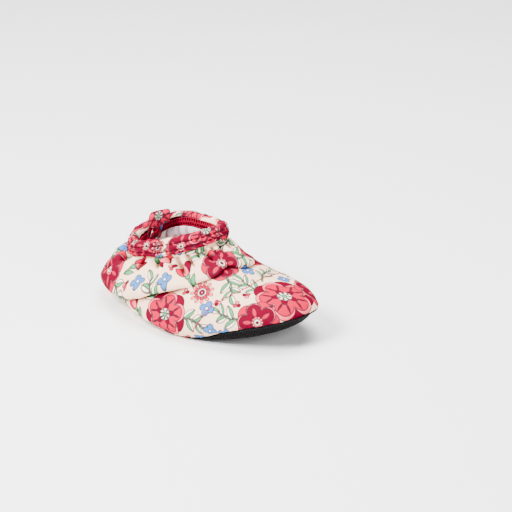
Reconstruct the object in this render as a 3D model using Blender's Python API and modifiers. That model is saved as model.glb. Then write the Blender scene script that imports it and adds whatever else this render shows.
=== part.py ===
"""Toddler's slip-on water shoe for the right foot: rubber sole, hollow fabric upper, elastic collar
binding, heel pull loop and insole. The upper and the sole are one skin, drawn through rings that run
round the shoe from the tread up to the collar. Toe is +X, the shoe's inner side is +Y, up is +Z."""
import math

import bpy
import numpy as np

MM = 0.001

# Wall sizes, millimetres
WALL = 1.8
SOLE_THICKNESS = 2.0
INSOLE_THICKNESS = 1.6
JOIN_GAP = 0.3
INSOLE_SHARE = 0.93

# Sole profile: flat heel, low arch, flat ball, then the toe springs up
HEEL_FLAT_END = 36.0
BALL_FLAT_START = 62.0
BALL_FLAT_END = 80.0
TOE_SPRING_END = 129.5
TOE_SPRING = 10.2
TOE_SPRING_POWER = 1.6
ARCH_LIFT = 1.6

# Facets
AROUND = 72
FLOOR_SHARES = (0.84, 0.64, 0.40, 0.14)
ROWS_SOLE_EDGE = 4
ROWS_UPPER_SPAN = 4
ROWS_BINDING_LAP = 3

# Where the middle of the shoe's box lies, measured from the heel's centre line at the ground
BOX_MIDDLE_X = 66.942
BOX_MIDDLE_Y = 0.873

# One ring per row. x is measured from the heel, lat and med are half widths on the outer and the inner
# side of the foot, y is the ring's centre line, z its height, rise how suddenly its ends climb.
RING_COLUMNS = ("x_back", "x_front", "lat_heel", "lat_ball", "med_heel", "med_ball",
                "y_back", "y_front", "z_back", "z_lat", "z_med", "z_front", "rise")
RINGS = {
    "tread":    (10.5, 129.5, 17.0, 30.0, 18.0, 26.5, 0.0, 8.5, 0.0, 0.0, 0.0, 10.2, 1.6),
    "seam":     (5.8, 135.3, 20.5, 34.0, 22.0, 30.0, 0.5, 9.5, 3.2, 2.2, 3.0, 16.4, 1.4),
    "bulge":    (-4.2, 138.4, 27.5, 37.5, 27.0, 32.5, 0.5, 9.0, 9.5, 7.2, 8.6, 19.6, 1.6),
    "side":     (-1.5, 131.0, 29.0, 34.5, 28.0, 31.5, 1.5, 8.0, 17.5, 17.5, 20.0, 26.0, 1.6),
    "shoulder": (6.5, 104.0, 26.5, 27.0, 25.5, 25.5, 4.0, 5.0, 26.0, 29.5, 31.0, 31.5, 1.4),
    "neck":     (14.1, 78.2, 22.5, 18.5, 20.0, 17.2, 7.0, 4.3, 30.3, 33.7, 39.5, 46.3, 1.15),
    "collar":   (17.0, 75.2, 22.8, 17.5, 20.1, 16.9, 7.8, 4.9, 41.9, 44.7, 49.9, 55.4, 1.1),
}
UPPER_RINGS = ("seam", "bulge", "side", "shoulder", "neck")
ROUNDNESS = 0.88

# Slack of the empty collar: round each turn its edge lifts or dips, fading out over reach. The neck ring
# takes a smaller share of it than the top edge does.
SLACK_COLUMNS = ("turn", "reach", "lift")
SLACK = ((0.14, 0.09, -4.2), (0.66, 0.08, -1.1), (0.86, 0.09, 1.7))
SLACK_SHARE = {"neck": 0.6, "collar": 1.0}

# Binding's cross-section round the fabric's edge. out is measured outward from the upper's outer face,
# up from the neck ring when from_top is 0, from the binding's top when it is 1.
LAP_SHARE = 0.55
BINDING_SECTION_COLUMNS = ("out", "up", "from_top")
BINDING_SECTION = (
    (0.3, 0.9, 0), (0.3, 0.3, 2), (-2.1, 0.3, 2), (-2.1, 0.9, 0),
    (-3.3, 0.9, 0), (-3.9, 1.9, 0), (-4.0, -3.2, 1), (-3.4, -1.3, 1), (-2.1, -0.2, 1),
    (-0.4, 0.0, 1), (1.0, -0.8, 1), (1.9, -2.4, 1), (2.2, 2.2, 0), (1.6, 0.9, 0))
BINDING_INNER_FACE = 4.0

# Heel loop: the strip's middle line, in is measured from the binding's inner face into the shoe, up from
# the neck ring when from_top is 0, from the binding's top when it is 1. Above the binding the soft strip
# turns about its own middle, clockwise from above.
LOOP_STRIP = 1.4
LOOP_HALF_WIDTH = 6.0
LOOP_TURN = -0.036
LOOP_TWIST = math.radians(-27.0)
LOOP_TWIST_RISE = 5.0
LOOP_MIDDLE = 3.1
LOOP_COLUMNS_ACROSS = 5
LOOP_PATH_COLUMNS = ("inward", "up", "from_top")
LOOP_PATH = (
    (1.3, -2.0, 0), (1.2, 2.5, 0), (1.2, -3.5, 1), (1.1, 0.0, 1), (0.6, 3.2, 1), (0.6, 6.0, 1),
    (1.5, 8.0, 1), (3.1, 8.8, 1), (4.7, 7.8, 1), (5.5, 5.4, 1), (5.7, 2.0, 1), (5.1, -2.0, 1),
    (3.7, 3.4, 0), (3.4, -2.0, 0), (2.4, -3.0, 0))

PART_COLLECTION = "water_shoe"


def smooth(value):
    """Eased step from 0 to 1."""
    value = np.clip(value, 0.0, 1.0)
    return value * value * (3.0 - 2.0 * value)


def ring(row, turn):
    """Points of one ring: turn runs 0 to 1 from the heel's back round the outer side to the toe and back."""
    size = dict(zip(RING_COLUMNS, row))
    angle = 2.0 * math.pi * turn
    along = np.sign(np.cos(angle)) * np.abs(np.cos(angle)) ** ROUNDNESS
    across = np.sign(np.sin(angle)) * np.abs(np.sin(angle)) ** ROUNDNESS
    share = (1.0 - along) / 2.0
    x = size["x_back"] + (size["x_front"] - size["x_back"]) * share
    widen = smooth((share - 0.12) / 0.45)
    lateral = size["lat_heel"] + (size["lat_ball"] - size["lat_heel"]) * widen
    medial = size["med_heel"] + (size["med_ball"] - size["med_heel"]) * widen
    middle = size["y_back"] + (size["y_front"] - size["y_back"]) * smooth((share - 0.3) / 0.7)
    y = middle - np.where(across > 0.0, lateral, medial) * across
    side = size["z_lat"] + (size["z_med"] - size["z_lat"]) * smooth(0.5 - 0.5 * across / 0.9)
    front = np.clip(2.0 * share - 1.0, 0.0, 1.0) ** size["rise"]
    back = np.clip(1.0 - 2.0 * share, 0.0, 1.0) ** size["rise"]
    z = side + (size["z_front"] - side) * front + (size["z_back"] - side) * back
    return np.stack([x, y, z], axis=-1)


def slack(turn):
    """Lift of the slack collar: a sum of soft waves, each widest at its own turn."""
    lift = 0.0 * turn
    for middle, reach, height in SLACK:
        away = np.abs((turn - middle + 0.5) % 1.0 - 0.5)
        lift = lift + height * np.exp(-(away / reach) ** 2)
    return lift


def named_ring(name, turn):
    """Points of the ring of that name, with its share of the collar's slack."""
    points = ring(RINGS[name], turn)
    points[:, 2] += SLACK_SHARE.get(name, 0.0) * slack(turn)
    return points


def underside(x, y):
    """Height of the tread's surface: arch between heel and ball, toe spring in front of the ball."""
    spring = np.clip((x - BALL_FLAT_END) / (TOE_SPRING_END - BALL_FLAT_END), 0.0, 1.0)
    half = 0.5 * (BALL_FLAT_START - HEEL_FLAT_END)
    place = np.clip(np.abs(x - HEEL_FLAT_END - half) / half, 0.0, 1.0)
    arch = ARCH_LIFT * (1.0 - smooth(place)) * smooth((y + 25.0) / 50.0)
    return TOE_SPRING * spring ** TOE_SPRING_POWER + arch


def tread_ring(turn, share):
    """The tread outline drawn in toward its middle line by share."""
    size = dict(zip(RING_COLUMNS, RINGS["tread"]))
    length = 0.5 * (size["x_front"] - size["x_back"]) * (1.0 - share)
    size["x_back"] += length
    size["x_front"] -= length
    for name in ("lat_heel", "lat_ball", "med_heel", "med_ball"):
        size[name] *= share
    points = ring(tuple(size[name] for name in RING_COLUMNS), turn)
    points[:, 2] = underside(points[:, 0], points[:, 1])
    return points


def on_sole(points):
    """Points of the tread's surface raised through the sole's thickness and the gap above it."""
    x, y = points[:, 0], points[:, 1]
    step = 0.5
    slope = (underside(x + step, y) - underside(x - step, y)) / (2.0 * step)
    rise = (SOLE_THICKNESS + JOIN_GAP) * np.sqrt(1.0 + slope ** 2)
    return points + np.stack([0.0 * x, 0.0 * y, rise], axis=-1)


def span(before, start, end, after, count):
    """Catmull-Rom rows from start up to, and not including, end."""
    rows = []
    for step in range(count):
        u = step / count
        rows.append(0.5 * (2.0 * start + (end - before) * u
                           + (2.0 * before - 5.0 * start + 4.0 * end - after) * u * u
                           + (3.0 * start - before - 3.0 * end + after) * u ** 3))
    return rows


def collar_frame(turn):
    """Neck point, unit direction up the binding, its height, and unit direction outward, at each turn."""
    neck = named_ring("neck", turn)
    top = named_ring("collar", turn)
    step = 1e-4
    ahead = named_ring("neck", turn + step) + named_ring("collar", turn + step)
    behind = named_ring("neck", turn - step) + named_ring("collar", turn - step)
    up = top - neck
    height = np.linalg.norm(up, axis=1, keepdims=True)
    up = up / height
    outward = np.cross(ahead - behind, up)
    outward = outward / np.linalg.norm(outward, axis=1, keepdims=True)
    return neck, up, height, outward


def collar_point(frame, out, rise, from_top):
    """Points beside the collar, out from the upper's face and up from the neck, the top or the lap."""
    neck, up, height, outward = frame
    base = {0: 0.0, 1: 1.0, 2: LAP_SHARE}[from_top]
    return neck + up * (base * height + rise) + outward * out


def turned(points, middle, angle):
    """Points turned about the upright line through middle."""
    x, y = points[:, 0] - middle[0], points[:, 1] - middle[1]
    across = np.stack([x * math.cos(angle) - y * math.sin(angle),
                       x * math.sin(angle) + y * math.cos(angle)], axis=-1)
    return np.column_stack([middle[:2] + across, points[:, 2]])


def place(points):
    """Millimetres from the heel to metres from the middle of the shoe's box."""
    return (points - np.array([BOX_MIDDLE_X, BOX_MIDDLE_Y, 0.0])) * MM


def make_part(name, rows, colour, roughness, wrap=True, close_rows=False, cap=False):
    """Loft a skin through rows of points, one row per ring, and give it its own material."""
    count = len(rows)
    width = len(rows[0])
    vertices = place(np.concatenate(rows))
    faces = []
    for i in range(count if close_rows else count - 1):
        j = (i + 1) % count
        for k in range(width if wrap else width - 1):
            m = (k + 1) % width
            faces.append((i * width + k, i * width + m, j * width + m, j * width + k))
    if cap:
        faces.append(tuple(range((count - 1) * width, count * width)))
    mesh = bpy.data.meshes.new(name)
    mesh.from_pydata([tuple(v) for v in vertices], [], faces)
    mesh.update()
    part = bpy.data.objects.new(name, mesh)
    bpy.data.collections[PART_COLLECTION].objects.link(part)
    material = bpy.data.materials.new(name)
    material.use_nodes = True
    shader = material.node_tree.nodes["Principled BSDF"]
    shader.inputs["Base Color"].default_value = (*colour, 1.0)
    shader.inputs["Roughness"].default_value = roughness
    mesh.materials.append(material)
    return part


def thicken(part, thickness, offset):
    """Give a skin its wall: offset -1 grows it behind its faces, 0 to both sides."""
    wall = part.modifiers.new("wall", "SOLIDIFY")
    wall.thickness = thickness * MM
    wall.offset = offset
    wall.use_even_offset = True
    wall.use_quality_normals = True
    wall.use_rim = True


# Empty the scene and make the part's own collection
for thing in list(bpy.data.objects):
    bpy.data.objects.remove(thing, do_unlink=True)
shoe = bpy.data.collections.new(PART_COLLECTION)
bpy.context.scene.collection.children.link(shoe)

turns = np.arange(AROUND) / AROUND
loops = {name: named_ring(name, turns) for name in RINGS}
loops["tread"] = tread_ring(turns, 1.0)

# Upper: skin from the seam to the neck, then straight up inside the binding
skin_rows = []
names = ("tread",) + UPPER_RINGS + ("collar",)
for place_in_list in range(1, len(names) - 2):
    around = [loops[names[place_in_list + k]] for k in (-1, 0, 1, 2)]
    skin_rows += span(*around, ROWS_UPPER_SPAN)
neck_frame = collar_frame(turns)
lap_height = LAP_SHARE * neck_frame[2]
for step in range(ROWS_BINDING_LAP + 1):
    skin_rows.append(neck_frame[0] + neck_frame[1] * lap_height * step / ROWS_BINDING_LAP)
upper = make_part("upper", skin_rows, (0.86, 0.78, 0.71), 0.6)
thicken(upper, WALL, -1.0)

# Sole: the same skin carried on below the seam, then drawn in flat under the foot
edge_rows = span(tread_ring(turns, 0.8), loops["tread"], loops["seam"], loops["bulge"], ROWS_SOLE_EDGE)
slope = loops["seam"] - edge_rows[-1]
slope = slope / np.linalg.norm(slope, axis=1, keepdims=True)
edge_rows.append(loops["seam"] - slope * JOIN_GAP)
sole_rows = edge_rows[::-1] + [tread_ring(turns, share) for share in FLOOR_SHARES]
sole = make_part("sole", [row[::-1] for row in sole_rows], (0.018, 0.016, 0.016), 0.7, cap=True)
thicken(sole, SOLE_THICKNESS, -1.0)

# Insole: a flat sheet lying in the sole
insole_rows = [on_sole(tread_ring(turns, share)) for share in (INSOLE_SHARE,) + FLOOR_SHARES]
insole = make_part("insole", [row[::-1] for row in insole_rows], (0.62, 0.55, 0.55), 0.8, cap=True)
thicken(insole, INSOLE_THICKNESS, -1.0)

# Collar binding: its section carried round the collar
binding_rows = [collar_point(neck_frame, *row) for row in reversed(BINDING_SECTION)]
binding = make_part("collar_binding", binding_rows, (0.80, 0.16, 0.21), 0.6, close_rows=True)

# Heel loop: a closed strip carried a short way along the back of the binding
turn_step = 0.01
step_ends = named_ring("collar", np.array([LOOP_TURN - turn_step, LOOP_TURN + turn_step]))
turn_per_mm = 2.0 * turn_step / np.linalg.norm(step_ends[1] - step_ends[0])
back_turns = LOOP_TURN + np.linspace(-1.0, 1.0, LOOP_COLUMNS_ACROSS) * LOOP_HALF_WIDTH * turn_per_mm
loop_frame = collar_frame(back_turns)
loop_middle = collar_point(collar_frame(np.array([LOOP_TURN])), -BINDING_INNER_FACE - LOOP_MIDDLE, 0.0, 1)[0]
loop_rows = []
for inward, up, from_top in LOOP_PATH:
    row = collar_point(loop_frame, -BINDING_INNER_FACE - inward, up, from_top)
    twist = LOOP_TWIST * smooth(up / LOOP_TWIST_RISE) if from_top else 0.0
    loop_rows.append(turned(row, loop_middle, twist))
loop = make_part("heel_loop", loop_rows, (0.80, 0.20, 0.24), 0.6, wrap=False, close_rows=True)
thicken(loop, LOOP_STRIP, 0.0)
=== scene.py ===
# %% [markdown]
# # A toddler's slip-on water shoe
# The real shoe is sewn from printed swim fabric, gathered into an elastic binding at the collar, lined with
# pale satin and closed underneath by a thin sheet of black rubber. This lesson dresses the plain solids of
# that shoe. Every new piece is a surface worked out with numpy from the same few rings that give the solids
# their form, so that it lies where they lie.

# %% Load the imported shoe
import math

import bpy
import numpy as np
from mathutils import Matrix


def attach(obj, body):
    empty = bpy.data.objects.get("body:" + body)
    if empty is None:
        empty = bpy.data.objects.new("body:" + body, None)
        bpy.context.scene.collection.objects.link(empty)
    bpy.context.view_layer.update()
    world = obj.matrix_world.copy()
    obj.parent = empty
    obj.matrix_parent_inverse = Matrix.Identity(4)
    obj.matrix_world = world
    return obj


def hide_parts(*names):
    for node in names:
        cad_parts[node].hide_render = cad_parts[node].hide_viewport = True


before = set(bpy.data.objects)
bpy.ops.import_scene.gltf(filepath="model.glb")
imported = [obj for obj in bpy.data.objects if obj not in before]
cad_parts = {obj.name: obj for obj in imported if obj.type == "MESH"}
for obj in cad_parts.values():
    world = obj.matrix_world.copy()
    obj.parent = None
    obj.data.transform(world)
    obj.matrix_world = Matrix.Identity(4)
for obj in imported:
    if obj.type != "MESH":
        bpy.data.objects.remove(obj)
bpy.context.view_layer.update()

# %% [markdown]
# ## The form: rings round the shoe
# A shoe's skin could be sculpted, or lofted through sections across the foot. Rings that run round the foot,
# from the tread up to the collar, suit a sock-like shoe better: seams, folds, gathers and stitches all follow
# such rings. A place on the skin is then a turn, which starts at the back of the heel and passes the outer
# side, and a level, which climbs from ring to ring. Sizes are millimetres from the heel.

# %% Sizes of the rings
RING_COLUMNS = ("x_back", "x_front", "lat_heel", "lat_ball", "med_heel", "med_ball",
                "y_back", "y_front", "z_back", "z_lat", "z_med", "z_front", "rise")
RINGS = {
    "tread":    (10.5, 129.5, 17.0, 30.0, 18.0, 26.5, 0.0, 8.5, 0.0, 0.0, 0.0, 10.2, 1.6),
    "edge":     (5.8, 135.3, 20.5, 34.0, 22.0, 30.0, 0.5, 9.5, 3.2, 2.2, 3.0, 16.4, 1.4),
    "bulge":    (-4.2, 138.4, 27.5, 37.5, 27.0, 32.5, 0.5, 9.0, 9.5, 7.2, 8.6, 19.6, 1.6),
    "side":     (-1.5, 131.0, 29.0, 34.5, 28.0, 31.5, 1.5, 8.0, 17.5, 17.5, 20.0, 26.0, 1.6),
    "shoulder": (6.5, 104.0, 26.5, 27.0, 25.5, 25.5, 4.0, 5.0, 26.0, 29.5, 31.0, 31.5, 1.4),
    "neck":     (14.1, 78.2, 22.5, 18.5, 20.0, 17.2, 7.0, 4.3, 30.3, 33.7, 39.5, 46.3, 1.15),
    "collar":   (17.0, 75.2, 22.8, 17.5, 20.1, 16.9, 7.8, 4.9, 41.9, 44.7, 49.9, 55.4, 1.1),
}
print("rings", ", ".join(RINGS))

# %% Rings as functions of the turn
ROUNDNESS = 0.88
WIDEN_FROM, WIDEN_SPAN = 0.12, 0.45
SWING_FROM, SWING_SPAN = 0.3, 0.7
SIDE_BLEND = 0.9


def smooth(value):
    """Eased step: 3 v squared less 2 v cubed, with v held between 0 and 1."""
    value = np.clip(value, 0.0, 1.0)
    return value * value * (3.0 - 2.0 * value)


def unit(vectors):
    """Vectors divided by their own lengths."""
    return vectors / np.linalg.norm(vectors, axis=-1, keepdims=True)


def ring(size, turn):
    """A rounded oval: x and y follow the turn's cosine and sine to a power, and z eases to both ends."""
    angle = 2.0 * math.pi * turn
    along = np.sign(np.cos(angle)) * np.abs(np.cos(angle)) ** ROUNDNESS
    across = np.sign(np.sin(angle)) * np.abs(np.sin(angle)) ** ROUNDNESS
    share = (1.0 - along) / 2.0
    x = size["x_back"] + (size["x_front"] - size["x_back"]) * share
    widen = smooth((share - WIDEN_FROM) / WIDEN_SPAN)
    lateral = size["lat_heel"] + (size["lat_ball"] - size["lat_heel"]) * widen
    medial = size["med_heel"] + (size["med_ball"] - size["med_heel"]) * widen
    swing = smooth((share - SWING_FROM) / SWING_SPAN)
    middle = size["y_back"] + (size["y_front"] - size["y_back"]) * swing
    y = middle - np.where(across > 0.0, lateral, medial) * across
    side = size["z_lat"] + (size["z_med"] - size["z_lat"]) * smooth(0.5 - 0.5 * across / SIDE_BLEND)
    front = np.clip(2.0 * share - 1.0, 0.0, 1.0) ** size["rise"]
    back = np.clip(1.0 - 2.0 * share, 0.0, 1.0) ** size["rise"]
    z = side + (size["z_front"] - side) * front + (size["z_back"] - side) * back
    return np.stack(np.broadcast_arrays(x, y, z), axis=-1)


# %% Slack of the empty cloth, and the tread
# Slack rows: turn, reach as a share of the turn, lift
SLACK = ((0.14, 0.09, -4.2), (0.66, 0.08, -1.1), (0.86, 0.09, 1.7))
SHOULDER_SINK = ((0.215, 0.065, -4.2), (0.315, 0.055, -2.8))
WAVES = {"shoulder": (SHOULDER_SINK, 1.0), "neck": (SLACK, 0.6), "collar": (SLACK, 1.0)}
BALL_FLAT_END, TOE_SPRING_END, TOE_SPRING, TOE_SPRING_POWER = 80.0, 129.5, 10.2, 1.6
ARCH_MIDDLE, ARCH_HALF, ARCH_SIDE, ARCH_LIFT = 49.0, 13.0, 25.0, 1.6


def slack(turn, rows):
    """Lift of a slack ring: a sum of bell waves, each with its own middle, reach and height."""
    away = [np.abs((turn - middle + 0.5) % 1.0 - 0.5) / reach for middle, reach, _ in rows]
    return sum(row[2] * np.exp(-part ** 2) for row, part in zip(rows, away))


def named_ring(name, turn):
    """Ring of that name, lifted by its share of the slack in the collar or in the cloth below it."""
    points = ring(dict(zip(RING_COLUMNS, RINGS[name])), turn)
    if name in WAVES:
        rows, share = WAVES[name]
        points[..., 2] += share * slack(turn, rows)
    return points


def underside(x, y):
    """Height of the tread: a low arch under the waist, and a power curve for the toe spring."""
    spring = np.clip((x - BALL_FLAT_END) / (TOE_SPRING_END - BALL_FLAT_END), 0.0, 1.0)
    arch = 1.0 - smooth(np.abs(x - ARCH_MIDDLE) / ARCH_HALF)
    arch = ARCH_LIFT * arch * smooth((y + ARCH_SIDE) / (2.0 * ARCH_SIDE))
    return TOE_SPRING * spring ** TOE_SPRING_POWER + arch


def tread_ring(turn, share):
    """Tread outline drawn in toward its middle by share, lying on the underside."""
    size = dict(zip(RING_COLUMNS, RINGS["tread"]))
    drawn_in = 0.5 * (size["x_front"] - size["x_back"]) * (1.0 - share)
    size["x_back"], size["x_front"] = size["x_back"] + drawn_in, size["x_front"] - drawn_in
    for name in ("lat_heel", "lat_ball", "med_heel", "med_ball"):
        size[name] = size[name] * share
    points = ring(size, turn)
    points[..., 2] = underside(points[..., 0], points[..., 1])
    return points


print("tread rises", round(float(underside(TOE_SPRING_END, 0.0)), 1), "mm to the toe")

# %% The skin between the rings
NECK_LEVEL = 4
INNER_TREAD_SHARE = 0.8
STEP = 1e-3


def catmull(a, b, c, d, u):
    """Catmull-Rom curve from b to c, whose neighbours are a and d, at share u."""
    return 0.5 * (2.0 * b + (c - a) * u + (2.0 * a - 5.0 * b + 4.0 * c - d) * u ** 2
                  + (3.0 * b - a - 3.0 * c + d) * u ** 3)


def skin(turn, level):
    """Place on the skin: Catmull-Rom from ring to ring up to the neck, then straight on to the collar."""
    turn, level = np.broadcast_arrays(np.asarray(turn, float), np.asarray(level, float))
    rings = np.stack([tread_ring(turn, INNER_TREAD_SHARE), tread_ring(turn, 1.0)]
                     + [named_ring(name, turn) for name in list(RINGS)[1:]])
    bent = np.clip(level, -1.0, NECK_LEVEL)
    below = np.clip(np.floor(bent).astype(int) + 1, 0, NECK_LEVEL)
    u = (bent + 1 - below)[..., None]
    a, b, c, d = (np.take_along_axis(rings, (below + k)[None, ..., None], axis=0)[0] for k in range(4))
    return catmull(a, b, c, d, u) + np.maximum(level - NECK_LEVEL, 0.0)[..., None] * (rings[-1] - rings[-2])


def skin_frame(turn, level):
    """Place on the skin with its unit directions along the turn, up the level and outward."""
    along = unit(skin(turn + STEP, level) - skin(turn - STEP, level))
    up = unit(skin(turn, level + STEP) - skin(turn, level - STEP))
    return skin(turn, level), along, up, unit(np.cross(along, up))


toe, heel = skin(np.array([0.5, 0.0]), np.array([1.0, 1.0]))
print("skin from heel", heel.round(1), "to toe", toe.round(1))


# %% Curves and lengths
def curve(knots, count, closed=False):
    """Catmull-Rom curve through a few knots, read at evenly spaced places."""
    knots = np.asarray(knots, float)
    if closed:
        padded, spans = np.concatenate([knots[-1:], knots, knots[:2]]), len(knots)
    else:
        padded = np.concatenate([2 * knots[:1] - knots[1:2], knots, 2 * knots[-1:] - knots[-2:-1]])
        spans = len(knots) - 1
    at = np.linspace(0.0, spans, count, endpoint=not closed)
    below = np.minimum(at.astype(int), spans - 1)
    return catmull(*(padded[below + k] for k in range(4)), (at - below)[:, None])


def lengths(points, axis):
    """Length of the path run so far, along one axis of a grid of points."""
    steps = np.linalg.norm(np.diff(points, axis=axis), axis=-1)
    start = np.zeros_like(np.take(steps, [0], axis=axis))
    return np.concatenate([start, np.cumsum(steps, axis=axis)], axis=axis)


# %% [markdown]
# ## The camera
# The photograph looks down at the shoe's outer side and toe from a good distance. The camera could aim at the
# shoe and shift its lens, but a shift would also move every other view. So it stands at that angle and is
# turned until the shoe takes its place left of the picture's middle.

# %% Camera
MM = 0.001
BOX_MIDDLE = np.array([66.942, 0.873, 0.0])
VIEW_AZIMUTH, VIEW_ELEVATION = math.radians(43.0), math.radians(22.6)
VIEW_DISTANCE = 1100.0
VIEW_POINT = np.array([70.0, 0.0, 20.0])
POINT_IN_IMAGE = (203.6, 284.2)
IMAGE_SIZE = 512
PIXELS_PER_MM = 1.80
SENSOR_WIDTH = 36.0


def to_metres(points):
    """Millimetres from the heel to metres from the middle of the shoe's box."""
    return (points - BOX_MIDDLE) * MM


def standing(place, target, across):
    """Matrix of a camera or a light: its back points away from the target, its right is square to across."""
    back = unit(np.array(place) - np.array(target))
    right = unit(np.cross(across, back))
    matrix = np.eye(4)
    matrix[:3, :3] = np.stack([right, np.cross(back, right), back], axis=1)
    matrix[:3, 3] = place
    return Matrix(matrix.tolist())


view_right = np.array([math.cos(VIEW_AZIMUTH), math.sin(VIEW_AZIMUTH), 0.0])
view_back = np.array([math.sin(VIEW_AZIMUTH) * math.cos(VIEW_ELEVATION),
                      -math.cos(VIEW_AZIMUTH) * math.cos(VIEW_ELEVATION), math.sin(VIEW_ELEVATION)])
view_up = np.cross(view_back, view_right)
aim = (VIEW_POINT + view_right * (IMAGE_SIZE / 2 - POINT_IN_IMAGE[0]) / PIXELS_PER_MM
       - view_up * (IMAGE_SIZE / 2 - POINT_IN_IMAGE[1]) / PIXELS_PER_MM)
eye = VIEW_POINT + view_back * VIEW_DISTANCE
camera = bpy.data.objects.new("camera", bpy.data.cameras.new("camera"))
bpy.context.scene.collection.objects.link(camera)
camera.data.sensor_width = SENSOR_WIDTH
camera.data.lens = SENSOR_WIDTH * PIXELS_PER_MM * VIEW_DISTANCE / IMAGE_SIZE
camera.matrix_world = standing(to_metres(eye), to_metres(aim), [0.0, 0.0, 1.0])
bpy.context.scene.camera = camera
print("lens", round(camera.data.lens, 1), "mm")

# %% [markdown]
# ## Meshes from grids
# Each surface is a grid of points, rows by columns, closed round its columns and sometimes round its rows.
# Blender's own modelling tools would need many steps for each of them. Here one function turns a grid into
# faces, one shuts its open ends with poles, and one puts arrays of points and faces into a named piece.


# %% Grids to pieces
def grid_faces(rows, columns, wrap_rows=False):
    """Four corners of each cell of a grid, counted row by row."""
    i = np.arange(rows if wrap_rows else rows - 1)[:, None]
    j = np.arange(columns)[None, :]
    right, above = (j + 1) % columns, (i + 1) % rows
    corners = (i * columns + j, i * columns + right, above * columns + right, above * columns + j)
    return np.stack(np.broadcast_arrays(*corners), axis=-1).reshape(-1, 4)


def pole_faces(row, pole, columns, turned_up):
    """Triangles from one row of a grid to a single point."""
    k = np.arange(columns)
    first, second = row * columns + k, row * columns + (k + 1) % columns
    pair = (first, second) if turned_up else (second, first)
    return np.stack([np.full(columns, pole), *pair], axis=-1)


def capped(grid):
    """Points and faces of a closed skin: a grid's rings, and a pole in the middle of its first and last."""
    rows, columns = grid.shape[:2]
    poles = np.stack([grid[0].mean(axis=0), grid[-1].mean(axis=0)])
    faces = [grid_faces(rows, columns), pole_faces(0, rows * columns, columns, False),
             pole_faces(rows - 1, rows * columns + 1, columns, True)]
    return np.concatenate([grid.reshape(-1, 3), poles]), faces


def make_piece(name, points, faces, finish, slot, node=None, fields=None):
    """Put points in millimetres and faces into a smooth mesh on the shoe, which may stand for a node."""
    mesh = bpy.data.meshes.new(name)
    corners = [corner for block in faces for corner in block.tolist()]
    mesh.from_pydata(to_metres(points.reshape(-1, 3)).tolist(), [], corners)
    mesh.materials.append(finish)
    for field, values in (fields or {}).items():
        layer = mesh.attributes.new(field, "FLOAT_VECTOR", "POINT")
        layer.data.foreach_set("vector", values.astype(np.float32).ravel())
    mesh.shade_smooth()
    mesh.update()
    piece = bpy.data.objects.new(name, mesh)
    bpy.context.scene.collection.objects.link(piece)
    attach(piece, "root")
    if node:
        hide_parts(node)
    mesh.calc_loop_triangles()
    print(name, len(mesh.loop_triangles), "triangles")


# %% [markdown]
# ## Shader maths
# A finish is a formula over the surface. Wrapping a node's output in a class with Python's operators lets the
# formula be written as it would be on paper, and one method adds any other kind of node.


# %% A socket with operators
class Socket:
    """One output of a node. Arithmetic on it adds Math nodes to the same material."""

    def __init__(self, tree, output):
        self.tree, self.output = tree, output

    def node(self, kind, settings=None, sockets=None, output=0):
        """Add a node: its settings first, then the values or links of its sockets."""
        made = self.tree.nodes.new(kind)
        for name, value in (settings or {}).items():
            setattr(made, name, value)
        for name, value in (sockets or {}).items():
            if isinstance(value, Socket):
                self.tree.links.new(value.output, made.inputs[name])
            else:
                made.inputs[name].default_value = value
        return Socket(self.tree, made.outputs[output])

    def maths(self, operation, first, second=0.0, clamp=False):
        """Add a Math node on two values."""
        settings = {"operation": operation, "use_clamp": clamp}
        return self.node("ShaderNodeMath", settings, {0: first, 1: second})

    def __add__(self, other):
        return self.maths("ADD", self, other)

    def __radd__(self, other):
        return self.maths("ADD", other, self)

    def __sub__(self, other):
        return self.maths("SUBTRACT", self, other)

    def __rsub__(self, other):
        return self.maths("SUBTRACT", other, self)

    def __mul__(self, other):
        return self.maths("MULTIPLY", self, other)

    def __rmul__(self, other):
        return self.maths("MULTIPLY", other, self)

    def clamped(self):
        """This value held between 0 and 1."""
        return self.maths("ADD", self, clamp=True)

    def between(self, first, second, blend="MIX"):
        """Colour between two others: the first where this value is 0, the second blended in where it is 1."""
        settings = {"data_type": "RGBA", "blend_type": blend}
        return self.node("ShaderNodeMix", settings, {0: self, 6: first, 7: second}, output=2)

    def noise(self, scale, detail=2.0):
        """Soft noise over these coordinates, with its scale in waves a metre."""
        return self.node("ShaderNodeTexNoise", None, {"Vector": self, "Scale": scale, "Detail": detail})

    def bump(self, strength, distance):
        """Normal of a surface whose height is this value."""
        return self.node("ShaderNodeBump", None, {"Strength": strength, "Distance": distance, "Height": self})


# %% Colours and finishes
def linear(red, green, blue):
    """Colour read by eye, 0 to 255, as a shader's linear colour, by the curve that screens have in common."""
    share = np.array([red, green, blue]) / 255.0
    value = np.where(share <= 0.04045, share / 12.92, ((share + 0.055) / 1.055) ** 2.4)
    return (*value.tolist(), 1.0)


def new_finish(name, **constants):
    """Principled material with its constant sockets set; returns it, its shader and Object coordinates."""
    material = bpy.data.materials.new(name)
    material.use_nodes = True
    tree = material.node_tree
    shader = tree.nodes["Principled BSDF"]
    for socket, value in constants.items():
        shader.inputs[socket.replace("_", " ")].default_value = value
    start = Socket(tree, tree.nodes.new("ShaderNodeTexCoord").outputs["Object"])
    return material, shader, start


def feed(shader, name, value):
    """Link a worked-out value to one of the shader's sockets."""
    value.tree.links.new(value.output, shader.inputs[name])


# %% [markdown]
# ## The print
# The fabric carries an all-over garden print. An image could hold it, but a printed shape can also be kept as
# a distance: each point of the mesh stores how far, in millimetres, it lies inside the nearest shape of each
# colour. Distances blend smoothly between points, so the shader can cut a crisp edge anywhere between them.
# Shapes are laid over one another as a printer lays screens, and each leaves a thin outline.

# %% Screens of the print
SCREENS = ("coral", "crimson", "pink", "green", "blue", "white", "line")
OUTLINE = 0.50
FAR = 3.0


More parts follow.
